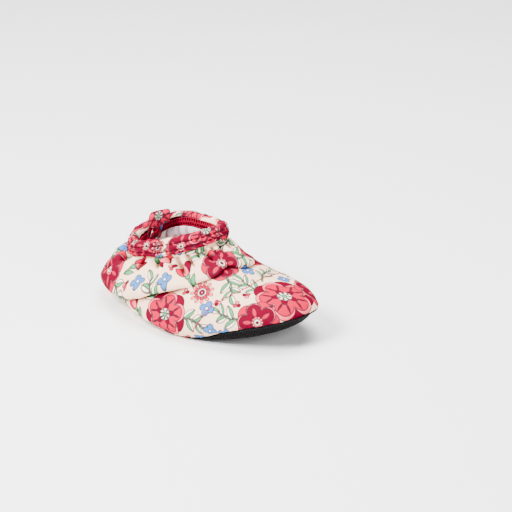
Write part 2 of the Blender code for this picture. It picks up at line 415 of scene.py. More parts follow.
class Print:
    """Distance fields, one per colour screen, over a set of points."""

    def __init__(self, count):
        self.screens = {name: np.full(count, -FAR) for name in SCREENS}

    def lay(self, where, inside, colour):
        """Lay a shape over what is there. Inside is the distance in from its outline, negative outside."""
        inside = np.clip(inside, -FAR, FAR)
        under = self.screens[colour][where]
        for field in self.screens.values():
            field[where] = np.minimum(field[where], -inside)
        self.screens[colour][where] = np.maximum(self.screens[colour][where], inside)
        self.stroke(where, np.minimum(OUTLINE / 2 - np.abs(inside), under))

    def stroke(self, where, inside):
        """Draw a thin line over what is there."""
        field = self.screens["line"]
        field[where] = np.maximum(field[where], np.clip(inside, -FAR, FAR))

    def stamp(self, where, x, y, motif, size):
        """Lay each layer of a motif, which gives a colour and a distance for every point in its own frame."""
        for colour, inside in motif(x, y, size):
            self.lay(where, inside, colour)

    def fields(self, shade):
        """The screens and the painted shade in creases, in threes, as the mesh stores them."""
        values = list(self.screens.values()) + [shade.ravel(), np.zeros_like(self.screens["line"])]
        return {"print_%d" % k: np.stack(values[3 * k:3 * k + 3], axis=-1) for k in range(3)}


# %% Shapes of the motifs
LOBE_STEP = 0.05


def lobes(x, y, count, radius, notch, bluntness=0.6, first=0.0):
    """Round flower outline: radius less a notch where the cosine of half the petal angle falls to nothing.

    The gap to it along the ray is divided by the length of its slope, so that it is near the true distance.
    """
    angle, reach = np.arctan2(y, x) - first, np.hypot(x, y)
    ahead, edge, behind = (radius * (1.0 - notch * (1.0 - np.abs(np.cos(0.5 * count * turned)) ** bluntness))
                           for turned in (angle + LOBE_STEP, angle, angle - LOBE_STEP))
    slope = (ahead - behind) / (2.0 * LOBE_STEP * np.maximum(reach, 0.3 * radius))
    return (edge - reach) / np.sqrt(1.0 + slope ** 2)


def disc(x, y, radius):
    """Distance in from a circle."""
    return radius - np.hypot(x, y)


def almond(x, y, half_length, half_width):
    """Pointed oval: where two equal circles overlap."""
    circle = (half_length ** 2 + half_width ** 2) / (2.0 * half_width)
    return circle - np.hypot(x, np.abs(y) + circle - half_width)


def rod(x, y, length, half_width):
    """Round-ended bar along x from 0 to length."""
    return half_width - np.hypot(x - np.clip(x, 0.0, length), y)


def shifted(x, y, to_x, to_y, angle):
    """Coordinates in a frame moved to a place and turned by an angle."""
    dx, dy = x - to_x, y - to_y
    return dx * np.cos(angle) + dy * np.sin(angle), dy * np.cos(angle) - dx * np.sin(angle)


def ring_of(count, radius, first=0.0):
    """Places and angles evenly spaced round a circle."""
    angles = first + 2.0 * math.pi * np.arange(count) / count
    return [(radius * math.cos(a), radius * math.sin(a), a) for a in angles]


# %% Large blooms
# In every motif lengths are shares of its own size, and angles are radians
PETALS = 5


def blossom(x, y, size):
    """Open bloom: dark back petals, pale rims, veined coral petals, a dark star and a dotted eye."""
    yield "crimson", lobes(x, y, PETALS, size, 0.34, first=math.pi / PETALS)
    yield "pink", lobes(x, y, PETALS, 0.94 * size, 0.40)
    yield "coral", lobes(x, y, PETALS, 0.82 * size, 0.40)
    for lean in (-0.24, 0.24):
        for to_x, to_y, a in ring_of(PETALS, 0.56 * size, lean):
            yield "crimson", almond(*shifted(x, y, to_x, to_y, a + lean), 0.17 * size, 0.030 * size)
    yield "crimson", lobes(x, y, PETALS, 0.44 * size, 0.70, 1.4)
    yield "white", lobes(x, y, 10, 0.25 * size, 0.14)
    for to_x, to_y, _ in ring_of(7, 0.17 * size):
        yield "crimson", disc(x - to_x, y - to_y, 0.036 * size)
    yield "green", disc(x, y, 0.09 * size)


def dark_blossom(x, y, size):
    """The same bloom in the other colourway: coral behind, pale rims, crimson in front with pale tongues."""
    yield "coral", lobes(x, y, PETALS, size, 0.34, first=math.pi / PETALS)
    yield "pink", lobes(x, y, PETALS, 0.92 * size, 0.40)
    yield "crimson", lobes(x, y, PETALS, 0.84 * size, 0.40)
    for to_x, to_y, a in ring_of(PETALS, 0.46 * size):
        yield "coral", almond(*shifted(x, y, to_x, to_y, a), 0.24 * size, 0.10 * size)
    yield "pink", lobes(x, y, 10, 0.27 * size, 0.30)
    yield "white", disc(x, y, 0.15 * size)
    yield "crimson", disc(x, y, 0.06 * size)


# %% Motifs between the blooms
LEAF_LEAN = 0.85
# Leaf rows: place along the stem, side, half length
LEAVES = ((0.30, 1, 0.25), (0.42, -1, 0.25), (0.66, 1, 0.22), (0.76, -1, 0.21), (0.94, 0, 0.23))


def tulip(x, y, size):
    """Cup of three pointed petals on a short stem, seen from the side."""
    yield "green", rod(*shifted(x, y, 0.0, -0.2 * size, -math.pi / 2), 0.9 * size, 0.080 * size)
    yield "green", almond(*shifted(x, y, 0.26 * size, -0.75 * size, 0.9), 0.42 * size, 0.16 * size)
    yield "coral", almond(*shifted(x, y, -0.24 * size, 0.24 * size, 2.02), 0.62 * size, 0.27 * size)
    yield "crimson", almond(*shifted(x, y, 0.24 * size, 0.24 * size, 1.12), 0.62 * size, 0.27 * size)
    yield "pink", almond(*shifted(x, y, 0.0, 0.20 * size, math.pi / 2), 0.60 * size, 0.26 * size)
    yield "green", lobes(x, y + 0.34 * size, 6, 0.20 * size, 0.35)


def aster(x, y, size):
    """Flat daisy: many narrow pale petals round a dark eye with a pale rim and a pale dot."""
    yield "pink", lobes(x, y, 11, size, 0.50, 0.8)
    yield "coral", lobes(x, y, 11, 0.68 * size, 0.40, 0.9)
    yield "white", disc(x, y, 0.37 * size)
    yield "crimson", disc(x, y, 0.24 * size)
    yield "pink", disc(x, y, 0.10 * size)


def bluet(x, y, size):
    """Small four-petalled blue flower with a pale eye."""
    yield "blue", lobes(x, y, 4, size, 0.58, 0.5)
    yield "white", disc(x, y, 0.22 * size)


def sprig(x, y, size):
    """Bowed stem along x with paired almond leaves, each half pale, and one leaf at the tip."""
    stem = y - 0.10 * size * np.sin(math.pi * np.clip(x / size, 0.0, 1.0))
    yield "green", rod(x, stem, 0.95 * size, 0.038 * size)
    for at, side, half in LEAVES:
        angle, half = side * LEAF_LEAN, half * size
        leaf = shifted(x, stem, at * size + 0.9 * half * math.cos(angle), 0.9 * half * math.sin(angle), angle)
        blade = almond(*leaf, half, 0.42 * half)
        yield "green", blade
        yield "white", np.minimum(blade, leaf[1])


def branch(x, y, size):
    """Sprig laid so that its middle, not its foot, is at the motif's place."""
    return sprig(x + 0.6 * size, y, size)


def berries(x, y, size):
    """Three round berries close together."""
    for (to_x, to_y, _), ink in zip(ring_of(3, 0.62 * size, 0.5), ("coral", "crimson", "pink")):
        yield ink, disc(x - to_x, y - to_y, 0.55 * size)


MOTIFS = {"blossom": blossom, "dark_blossom": dark_blossom, "tulip": tulip, "aster": aster, "bluet": bluet,
          "sprig": sprig, "branch": branch, "berries": berries}
print("motifs", ", ".join(MOTIFS))

# %% [markdown]
# ## Fabric finish
# The swim fabric is a fine matt knit: an even roughness that varies a little, and a very small knitted bump.
# A knit could be modelled thread by thread, but a thread is far smaller than a pixel here, so a cellular
# pattern gives the bump. The print's colours are mixed screen by screen, each cut at its own zero distance.

# %% Printed fabric
CREAM, CREAM_SHADE = linear(253, 213, 181), linear(247, 203, 170)
INKS = {"coral": linear(192, 0, 54), "crimson": linear(104, 0, 32), "pink": linear(240, 92, 106),
        "green": linear(72, 148, 96), "blue": linear(64, 114, 178), "white": linear(246, 226, 206),
        "line": linear(46, 32, 42)}
EDGE_SOFTNESS, LINE_STRENGTH = 0.14, 0.9
# Painted shade: in creases and hollows the fabric's colour is multiplied toward this brown
CREASE_PAINTED_SHADE = (0.24, 0.16, 0.13, 1.0)
KNIT_PER_METRE, PATCH_PER_METRE = 2900.0, 90.0
TONE_LOW, TONE_SPAN = 0.86, 0.24
CLOTH_ROUGH_LOW, CLOTH_ROUGH_SPAN = 0.50, 0.12


def knit_bump(start, strength, distance):
    """Fine knit: a cellular pattern a third of a millimetre wide, as a bump."""
    cells = start.node("ShaderNodeTexVoronoi", {"feature": "F1"}, {"Vector": start, "Scale": KNIT_PER_METRE})
    return cells.bump(strength, distance)


def inked(field):
    """Share of ink at a distance inside a shape: a narrow ramp through the shape's edge."""
    return (field * (1.0 / EDGE_SOFTNESS) + 0.5).clamped()


def printed_fabric(name):
    """Swim fabric with ink from the piece's distance fields, each shape outlined where it ends, and painted
    shade in creases.
    """
    material, shader, start = new_finish(name, Specular_IOR_Level=0.004)
    fields = []
    for k in range(3):
        field = start.node("ShaderNodeAttribute", {"attribute_name": "print_%d" % k}, output=1)
        fields += [start.node("ShaderNodeSeparateXYZ", None, {0: field}, output=axis) for axis in range(3)]
    shade = fields[len(SCREENS)]
    fields = dict(zip(SCREENS, fields))
    patch = start.noise(PATCH_PER_METRE, 3.0)
    colour = patch.between(CREAM, CREAM_SHADE)
    outline = fields.pop("line")
    for screen, field in fields.items():
        colour = inked(field).between(colour, INKS[screen])
        outline = outline.maths("MAXIMUM", outline, OUTLINE / 2 - field.maths("ABSOLUTE", field))
    colour = (inked(outline) * LINE_STRENGTH).between(colour, INKS["line"])
    # Painted shade: the colour darkens toward brown in creases and hollows
    colour = shade.between(colour, CREASE_PAINTED_SHADE, "MULTIPLY")
    tone = patch * TONE_SPAN + TONE_LOW
    colour = start.node("ShaderNodeVectorMath", {"operation": "SCALE"}, {0: colour, "Scale": tone})
    feed(shader, "Base Color", colour)
    feed(shader, "Roughness", patch * CLOTH_ROUGH_SPAN + CLOTH_ROUGH_LOW)
    feed(shader, "Normal", knit_bump(start, 0.25, 0.00006))
    return material


fabric = printed_fabric("printed_swim_fabric")
print("finish", fabric.name, "of", len(fabric.node_tree.nodes), "nodes")

# %% Lining satin
# Painted shade: the satin darkens toward this colour between the lining's folds
SATIN_PAINTED_SHADE = linear(132, 104, 110)
GRAIN_PER_METRE = 260.0
SATIN_ROUGH_LOW, SATIN_ROUGH_SPAN = 0.28, 0.2


def satin(name, colour, shade):
    """Pale satin: smooth and softly shining, with a faint grain and painted shade between its own folds."""
    material, shader, start = new_finish(name, Sheen_Weight=0.1, Specular_IOR_Level=0.5)
    grain = start.noise(GRAIN_PER_METRE, 4.0)
    painted_fold_shade = start.node("ShaderNodeAttribute", {"attribute_name": "painted_fold_shade"}, output=2)
    # The painted shade between the folds is mixed into the colour here
    feed(shader, "Base Color", painted_fold_shade.between(grain.between(colour, shade), SATIN_PAINTED_SHADE))
    feed(shader, "Roughness", grain * SATIN_ROUGH_SPAN + SATIN_ROUGH_LOW)
    feed(shader, "Normal", knit_bump(start, 0.15, 0.00004))
    return material


lining_finish = satin("lining_satin", linear(238, 216, 220), linear(224, 198, 204))
print("finish", lining_finish.name, "of", len(lining_finish.node_tree.nodes), "nodes")

# %% [markdown]
# ## The upper
# On the real shoe one piece of fabric is gathered into the collar, so it puffs out below the binding and
# breaks into short pleats. Empty, it also slumps: a long fold runs along the outer side and over the vamp,
# where the fabric above hangs over the fabric below, and another fold marks the heel. These could be left to
# a cloth simulation, but then they would fall anywhere, so each is placed as a soft ridge and trough.

# %% Seam line and grid
AROUND = 600
OUTER_ROWS, LAP_ROWS, BACK_ROWS = 140, 4, 20
LAP_LEVEL = 4.45
ROW_SHARES = (0.0, 0.13, 0.28, 0.64, 1.0)
# Seam rows: turn, level
SEAM_LINE = ((0.03, 0.0), (0.12, -0.9), (0.266, -0.9), (0.385, 0.95), (0.47, 0.95), (0.69, 0.0))


def seam_level(turn):
    """Level of the seam between rubber and fabric, eased from each row of its table to the next."""
    level = SEAM_LINE[0][1] + 0.0 * turn
    for (start, low), (end, high) in zip(SEAM_LINE[:-1], SEAM_LINE[1:]):
        level = level + (high - low) * smooth((turn - start) / (end - start))
    return level


turns = np.arange(AROUND) / AROUND
base_levels = np.interp(np.linspace(0.0, 1.0, OUTER_ROWS), ROW_SHARES, np.arange(NECK_LEVEL + 1.0))
seam = seam_level(turns)
outer_levels = seam + (NECK_LEVEL - seam) * base_levels[:, None] / NECK_LEVEL
lap_levels = np.linspace(NECK_LEVEL, LAP_LEVEL, LAP_ROWS + 1)[1:, None] + 0.0 * turns
outer_levels = np.concatenate([outer_levels, lap_levels])
outer_turns = np.broadcast_to(turns, outer_levels.shape)
outer, outer_along, _, outer_normal = skin_frame(outer_turns, outer_levels)
climb = lengths(outer, axis=0)
below_neck = climb[OUTER_ROWS - 1] - climb
side_height = float(below_neck[0, AROUND // 4])
print("upper grid", outer.shape[:2], "height at the side", round(side_height, 1), "mm")

# %% Listed folds
# Fold rows: line of turns and levels, then lip, dip, reach and hang in millimetres
FOLDS = {
    "side": (((0.09, 1.10), (0.135, 1.25), (0.169, 1.47), (0.189, 1.62), (0.222, 2.09), (0.245, 2.51),
              (0.270, 2.80), (0.300, 2.97), (0.332, 2.98)), 2.8, 1.7, 6.5, 3.0),
    "vamp": (((0.318, 2.89), (0.335, 3.13), (0.378, 3.24), (0.412, 3.32), (0.438, 3.42), (0.462, 3.46),
              (0.485, 3.44)), 1.8, 1.2, 5.0, 1.6),
    "tongue": (((0.455, 3.52), (0.480, 3.42), (0.500, 3.35), (0.533, 3.30), (0.590, 3.26), (0.640, 3.30)),
               1.8, 1.2, 5.0, 1.4),
    "heel": (((0.156, 3.75), (0.146, 3.20), (0.130, 2.60), (0.108, 2.05), (0.085, 1.80), (0.060, 1.65)),
             1.2, 1.4, 5.5, 0.9),
    "inner side": (((0.700, 2.85), (0.740, 2.60), (0.785, 2.35), (0.830, 2.20), (0.870, 2.25)),
                   1.6, 1.1, 5.5, 1.4),
}
FOLD_EDGE, FOLD_ROLL, FOLD_FADE = 0.9, 2.0, 0.22
DIP_SHARE, HANG_SHARE = 0.6, 0.5
FOLD_SAMPLES = 220


def fold(points, normals, line, lip, dip, reach, hang):
    """Overhang along a line: a rolled, bell-shaped lip on its left, over a narrower trough on its right."""
    track = skin(*curve(line, FOLD_SAMPLES).T)
    heading = unit(np.gradient(track, axis=0))
    gaps = (points ** 2).sum(-1)[:, None] + (track ** 2).sum(-1) - 2.0 * points @ track.T
    nearest = gaps.argmin(axis=1)
    away = points - track[nearest]
    leftward = np.cross(normals, heading[nearest])
    beside = (away * leftward).sum(-1)
    over = smooth(beside / FOLD_EDGE + 0.5)
    span = np.linalg.norm(away, axis=-1)
    share = nearest / (FOLD_SAMPLES - 1.0)
    fade = smooth(share / FOLD_FADE) * smooth((1.0 - share) / FOLD_FADE)
    out = lip * smooth(beside / FOLD_ROLL) * np.exp(-(span / reach) ** 2)
    out = out - dip * (1.0 - over) * np.exp(-(span / (DIP_SHARE * reach)) ** 2)
    drop = hang * over * np.exp(-(span / (HANG_SHARE * reach)) ** 2)
    return normals * (fade * out)[:, None] - leftward * (fade * drop)[:, None]


flat_points, flat_normals = outer.reshape(-1, 3), outer_normal.reshape(-1, 3)
folded = sum(fold(flat_points, flat_normals, line, *sizes) for line, *sizes in FOLDS.values())
folded = folded.reshape(outer.shape)
most_moved = float(np.linalg.norm(folded, axis=-1).max())
print("folds", ", ".join(FOLDS), "move cloth by up to", round(most_moved, 2), "mm")

# %% Pleats and puff below the binding
# Pleat rows: turn, lean, length, depth, width, side that falls over it
PLEATS = (
    (0.158, -0.012, 13.0, 4.6, 1.6, -1), (0.213, -0.010, 14.0, 5.0, 1.5, 1),
    (0.254, 0.000, 11.0, 4.8, 1.4, 1), (0.289, 0.004, 9.0, 3.8, 1.1, -1),
    (0.314, 0.010, 18.0, 5.0, 1.5, -1), (0.352, 0.010, 14.0, 5.0, 1.5, 1),
    (0.385, 0.006, 10.0, 4.4, 1.3, -1), (0.420, 0.004, 14.0, 4.8, 1.5, -1),
    (0.455, 0.002, 10.0, 4.0, 1.3, 1), (0.490, 0.000, 11.0, 4.0, 1.4, -1))
HIDDEN_PLEATS, HIDDEN_FROM, HIDDEN_TO, HIDDEN_SHIFT = 15, 0.526, 1.120, 0.009
# Ranges of lean, length, depth and width for the pleats out of sight
HIDDEN_RANGES = ((-0.006, 0.006), (9.0, 16.0), (3.8, 5.0), (1.2, 1.6))
PLEAT_POWER, PLEAT_HOLD, PLEAT_WIDE, PLEAT_NARROWING = 1.5, 0.1, 1.2, 0.5
PLEAT_PUSH, PUSH_PLACE, PUSH_WIDTH = 0.08, 1.1, 0.8
HOLLOW_SHARE, HOLLOW_WIDTH = 0.50, 2.5
PUFF, PUFF_REACH, PUFF_START = 4.4, 10.5, 1.5
FRONT_CALM, FRONT_TURN, FRONT_REACH = 0.45, 0.5, 0.07
ROLL, ROLL_START, ROLL_REACH = 0.35, 3.0, 7.0
RUCK_PITCH, RUCK_HEIGHT, RUCK_REACH = 2.3, 0.35, 4.0
RUCK_WANDER, RUCK_WANDERS = 3.0, 5
DEEPEST = -1.6
rng = np.random.default_rng(5)
hidden_turns = np.linspace(HIDDEN_FROM, HIDDEN_TO, HIDDEN_PLEATS)
hidden_turns = hidden_turns + rng.uniform(-HIDDEN_SHIFT, HIDDEN_SHIFT, HIDDEN_PLEATS)
hidden = [(turn, *(rng.uniform(*span) for span in HIDDEN_RANGES), rng.choice((-1, 1)))
          for turn in hidden_turns]
neck_round = lengths(np.concatenate([outer[OUTER_ROWS - 1], outer[OUTER_ROWS - 1, :1]]), axis=0)[-1]
print("pleats", len(PLEATS) + len(hidden), "round", round(float(neck_round)), "mm of collar")


# %% Gathers
def gathers(turn, below, pleats):
    """Pleats: troughs that start under the binding, lean and narrow as they run down, and fade out.

    Each lies in a wider, shallower hollow. The cloth on one side is pushed over it, as in a knife pleat.
    """
    out, aside = 0.0 * turn, 0.0 * turn
    for middle, lean, length, depth, width, side in pleats:
        run = np.clip(below / length, 0.0, 1.0)
        left = depth * (1.0 - smooth((run - PLEAT_HOLD) / (1.0 - PLEAT_HOLD)))
        away = ((turn - middle - lean * run + 0.5) % 1.0 - 0.5) * neck_round
        away = away / (width * (PLEAT_WIDE - PLEAT_NARROWING * run))
        out = out - left * np.exp(-np.abs(away) ** PLEAT_POWER)
        out = out - HOLLOW_SHARE * left * np.exp(-(away / HOLLOW_WIDTH) ** 2)
        aside = aside - side * PLEAT_PUSH * left * np.exp(-((away - PUSH_PLACE * side) / PUSH_WIDTH) ** 2)
    return out, aside


under = np.maximum(below_neck, 0.0)
start_below = smooth(under / PUFF_START)
pleat_out, pleat_aside = gathers(outer_turns, under, PLEATS + tuple(hidden))
front_share = 1.0 - FRONT_CALM * np.exp(-((outer_turns - FRONT_TURN) / FRONT_REACH) ** 2)
ruck_count = round(neck_round / RUCK_PITCH)
wander = RUCK_WANDER * np.sin(2.0 * math.pi * RUCK_WANDERS * outer_turns)
rucks = np.sin(2.0 * math.pi * ruck_count * outer_turns + wander)
rucks = RUCK_HEIGHT * rucks * np.exp(-(under / RUCK_REACH) ** 2)
rolled = ROLL * smooth(under / ROLL_START) * np.exp(-(under / ROLL_REACH) ** 2)
puffed = PUFF * front_share * np.exp(-(under / PUFF_REACH) ** 2) + rolled
gathered = start_below * np.maximum(pleat_out + puffed + rucks, DEEPEST)
drawn = start_below * pleat_aside
print("gathers from", round(float(gathered.min()), 2), "to", round(float(gathered.max()), 2), "mm")

# %% Soft swells and the sole seam
# Swell rows: turn, level, reach, out
SWELLS = (
    (0.205, 2.75, 9.0, 0.9), (0.120, 1.60, 9.0, 0.7), (0.255, 1.55, 11.0, -0.5), (0.040, 2.70, 9.0, -0.7),
    (0.400, 1.80, 16.0, 0.4), (0.800, 1.60, 12.0, 0.6), (0.950, 2.30, 10.0, 0.5), (0.600, 2.20, 14.0, 0.4))
SEAM_TUCK, TUCK_REACH = 0.7, 1.3
PUCKER, PUCKER_PITCH, PUCKER_START, PUCKER_REACH = 0.22, 3.4, 2.0, 3.0
swollen = 0.0 * climb
for turn, level, reach, out in SWELLS:
    middle = skin(np.array([turn]), np.array([level]))
    swollen = swollen + out * np.exp(-(np.linalg.norm(outer - middle, axis=-1) / reach) ** 2)
seam_run = lengths(outer[0], axis=0)
pucker = np.cos(2.0 * math.pi * seam_run / PUCKER_PITCH)
pucker = pucker * np.exp(-(climb / PUCKER_REACH) ** 2) * smooth(climb / PUCKER_START)
swollen = swollen + PUCKER * pucker - SEAM_TUCK * np.exp(-(climb / TUCK_REACH) ** 2)
shift = folded + outer_normal * (gathered + swollen)[..., None] + outer_along * drawn[..., None]
too_deep = np.maximum(DEEPEST - (shift * outer_normal).sum(-1), 0.0)
shift = shift + outer_normal * too_deep[..., None]
cloth = outer + shift
stands_out = (shift * outer_normal).sum(-1)
print("cloth stands", round(float(stands_out.min()), 2), "to", round(float(stands_out.max()), 2), "mm out")

# %% Painted shade in the creases
CREASE_SPAN_TURN, CREASE_SPAN_ROWS = 21, 15
CREASE_START, CREASE_FULL = 0.25, 1.6
HOLLOW_SPAN_TURN, HOLLOW_SPAN_ROWS = 61, 41
HOLLOW_START, HOLLOW_FULL, HOLLOW_STRENGTH = 0.1, 1.8, 0.75


def average(values, span, axis, closed):
    """Running mean over an odd span of neighbours, round a closed axis or held at the ends of an open one."""
    half = span // 2
    pad = [(half, half) if k == axis else (0, 0) for k in range(values.ndim)]
    total = np.cumsum(np.pad(values, pad, mode="wrap" if closed else "edge"), axis=axis)
    total = np.concatenate([np.zeros_like(np.take(total, [0], axis=axis)), total], axis=axis)
    count = values.shape[axis]
    ahead, behind = (np.take(total, lead + np.arange(count), axis=axis) for lead in (span, 0))
    return (ahead - behind) / span


def painted_crease_shade(height, start, full, span_rows, span_turn):
    """Painted shade: how deep a place lies below the mean height round it, 0 at start or less, 1 at full
    depth.
    """
    around = average(height, span_turn, 1, True)
    around = average(average(around, span_rows, 0, False), span_turn, 1, True)
    return smooth((around - height - start) / (full - start))


# Painted shade in narrow creases, and a weaker painted shade in broad hollows
upper_painted_shade = painted_crease_shade(stands_out, CREASE_START, CREASE_FULL, CREASE_SPAN_ROWS, CREASE_SPAN_TURN)
hollow_painted_shade = painted_crease_shade(stands_out, HOLLOW_START, HOLLOW_FULL, HOLLOW_SPAN_ROWS, HOLLOW_SPAN_TURN)
upper_painted_shade = np.maximum(upper_painted_shade, HOLLOW_STRENGTH * hollow_painted_shade)
print("mean shade of the cloth", round(float(upper_painted_shade.mean()), 3))

# %% Back of the cloth
BACK_DEPTH = {"in the binding": 0.7, "below it": 1.95}
BACK_SINK_REACH = 1.0
back_pick = np.linspace(len(outer_levels) - 1, 0, BACK_ROWS).round().astype(int)
sink = smooth(below_neck[back_pick] / BACK_SINK_REACH)[..., None]
back_depth = BACK_DEPTH["in the binding"] + (BACK_DEPTH["below it"] - BACK_DEPTH["in the binding"]) * sink
cloth_back = outer[back_pick] - outer_normal[back_pick] * back_depth
upper_points = np.concatenate([cloth, cloth_back])
upper_rows = len(upper_points)
print("upper rows", upper_rows)

# %% Motifs on the upper
# Bloom rows: motif, turn, level, size, angle
BLOOMS = (
    ("blossom", 0.258, 1.60, 14.0, 0.3), ("blossom", 0.488, 2.25, 17.0, 0.2),
    ("dark_blossom", 0.128, 2.30, 12.0, 0.0), ("blossom", 0.055, 1.75, 13.0, 0.8),
    ("dark_blossom", 0.985, 2.60, 11.5, 0.2), ("dark_blossom", 0.393, 1.30, 12.0, 0.5),
    ("dark_blossom", 0.440, 3.50, 10.5, 0.0), ("dark_blossom", 0.590, 1.60, 13.0, 0.1),
    ("blossom", 0.700, 2.20, 14.0, 0.9), ("dark_blossom", 0.790, 1.50, 12.0, 0.4),
    ("blossom", 0.890, 2.00, 13.0, 0.1), ("dark_blossom", 0.620, 3.30, 10.0, 0.3))
SPRIGS_EACH, SPRIG_LENGTH, SPRIG_LEAN = 3, 17.0, 0.5
SPRIG_FOOT, SPRIG_MIDDLE, SPRIG_ROOM = 0.55, 0.75, 0.36
# Filler rows: motif, tries, smallest, largest, room
FILL = (("tulip", 250, 7.2, 8.2, 7.5), ("aster", 500, 6.4, 7.6, 7.2), ("branch", 1500, 13.0, 15.0, 6.2),
        ("bluet", 5000, 3.8, 4.5, 3.9), ("berries", 2000, 1.8, 2.1, 2.6))
SPRIG_REACH, FILL_REACH, BLOOM_REACH = 1.5, 1.8, 1.4
FACING, MOST_UNROLL = 0.05, 1.4


class SkinPrint(Print):
    """A print on the upper. A motif is laid flat against the skin at its own place and turned there."""

    def place(self, motif, middle, along, normal, size, angle, reach):
        """Stamp a motif on the points that face its way and lie within its reach, a multiple of its size."""
        gap = flat_points - middle
        chord = np.linalg.norm(gap, axis=-1)
        where = np.flatnonzero((chord < reach * size) & (flat_normals @ normal > FACING))
        x, y = gap[where] @ along, gap[where] @ np.cross(normal, along)
        unroll = np.minimum(chord[where] / np.maximum(np.hypot(x, y), 1e-6), MOST_UNROLL)
        self.stamp(where, *shifted(x * unroll, y * unroll, 0.0, 0.0, angle), MOTIFS[motif], size)


garden = SkinPrint(len(flat_points))
flat_along = outer_along.reshape(-1, 3)
bloom_frames = []
for _, turn, level, _, _ in BLOOMS:
    middle, along, _, normal = skin_frame(np.array([turn]), np.array([level]))
    bloom_frames.append((middle[0], along[0], normal[0]))
print("blooms", len(BLOOMS), "on", len(flat_points), "points")

# %% Lay the upper's print
taken, rooms, fillers = [], [], []
draws = np.random.default_rng(11)
for (_, _, _, size, angle), (middle, along, normal) in zip(BLOOMS, bloom_frames):
    for k in range(SPRIGS_EACH):
        lean = angle + 2.0 * math.pi * k / SPRIGS_EACH + draws.uniform(-SPRIG_LEAN, SPRIG_LEAN)
        heading = along * math.cos(lean) + np.cross(normal, along) * math.sin(lean)
        foot = middle + heading * SPRIG_FOOT * size
        garden.place("sprig", foot, along, normal, SPRIG_LENGTH, lean, SPRIG_REACH)
        taken.append(foot + heading * SPRIG_MIDDLE * SPRIG_LENGTH)
        rooms.append(SPRIG_ROOM * SPRIG_LENGTH)
    taken.append(middle)
    rooms.append(size)
for motif, tries, smallest, largest, room in FILL:
    for pick in draws.integers(0, len(flat_points), tries):
        middle = flat_points[pick]
        if np.all(np.linalg.norm(np.array(taken) - middle, axis=1) > np.array(rooms) + room):
            taken.append(middle)
            rooms.append(room)
            fillers.append((motif, pick, draws.uniform(smallest, largest), draws.uniform(0.0, 2.0 * math.pi)))
for motif, pick, size, angle in fillers:
    garden.place(motif, flat_points[pick], flat_along[pick], flat_normals[pick], size, angle, FILL_REACH)
for (motif, _, _, size, angle), frame_here in zip(BLOOMS, bloom_frames):
    garden.place(motif, *frame_here, size, angle, BLOOM_REACH)
print("smaller motifs", len(fillers))

# %% Make the upper
blank = np.full((BACK_ROWS * AROUND, 3), -FAR)
upper_fields = {name: np.concatenate([values, blank]) for name, values in garden.fields(upper_painted_shade).items()}
make_piece("upper_cloth", upper_points, [grid_faces(upper_rows, AROUND, wrap_rows=True)], fabric,
           "upper", "upper", upper_fields)

# %% [markdown]
# ## The lining
# A loose satin sock lines the shoe from the binding down to the insole. It could be the inner face of the
# upper, but it hangs in soft folds of its own, which show in the mouth of the shoe. So it is a surface of its
# own: the same skin, set inward by a few leaning sine waves.

# %% Lining
LINING_AROUND, LINING_ROWS = 360, 90
LINING_TOP, LINING_FOOT = 4.24, -0.9
LINING_THICKNESS = 0.45
LINING_DEPTH = {"over the binding": 4.2, "below it": 2.3}
LINING_DROP_ABOVE, LINING_DROP_SPAN = 0.04, 0.45
# Fold rows of the lining: folds round the shoe, lean, size
LINING_WAVES = ((19, 1.7, 0.45), (31, -2.3, 0.50), (11, 3.1, 0.40))
FOLD_AT_TOP, FOLD_END, FOLD_END_SPAN = 0.65, -0.6, 0.8
FOOT_STEPS = (0.8, 1.8, 3.0, 4.5)
FOOT_HEIGHTS = {"upper face": 2.26, "lower face": 2.04}
SLOPE_STEP = 0.5
sock_levels = np.linspace(LINING_TOP, LINING_FOOT, LINING_ROWS)[:, None] + np.zeros(LINING_AROUND)
sock_turns = np.broadcast_to(np.arange(LINING_AROUND) / LINING_AROUND, sock_levels.shape)
sock, _, _, sock_normal = skin_frame(sock_turns, sock_levels)
sock_drop = smooth((NECK_LEVEL + LINING_DROP_ABOVE - sock_levels) / LINING_DROP_SPAN)
thinner = LINING_DEPTH["below it"] - LINING_DEPTH["over the binding"]
sock_depth = LINING_DEPTH["over the binding"] + thinner * sock_drop
sock_fold = sum(size * (1.0 + np.sin(2.0 * math.pi * count * sock_turns + lean * sock_levels))
                for count, lean, size in LINING_WAVES)
sock_fold = sock_fold * (FOLD_AT_TOP + (1.0 - FOLD_AT_TOP) * sock_drop)
sock_fold = sock_fold * smooth((sock_levels - FOLD_END) / FOLD_END_SPAN)
sock_inner = sock - sock_normal * (sock_depth + LINING_THICKNESS + sock_fold)[..., None]
sock_outer = sock - sock_normal * sock_depth[..., None]
print("lining folds up to", round(float(sock_fold.max()), 2), "mm")


# %% Foot of the lining
def above_tread(points, height):
    """The same places in plan, raised from the tread by a height measured square to its slope."""
    x, y = points[..., 0], points[..., 1]
    steep = (underside(x + SLOPE_STEP, y) - underside(x - SLOPE_STEP, y)) / (2.0 * SLOPE_STEP)
    return np.stack([x, y, underside(x, y) + height * np.sqrt(1.0 + steep ** 2)], axis=-1)


foot_in = -unit(sock_normal[-1] * np.array([1.0, 1.0, 0.0])) * np.array(FOOT_STEPS)[:, None, None]
foot_inner = above_tread(sock_inner[-1] + foot_in, FOOT_HEIGHTS["upper face"])
foot_outer = above_tread(sock_outer[-1] + foot_in, FOOT_HEIGHTS["lower face"])
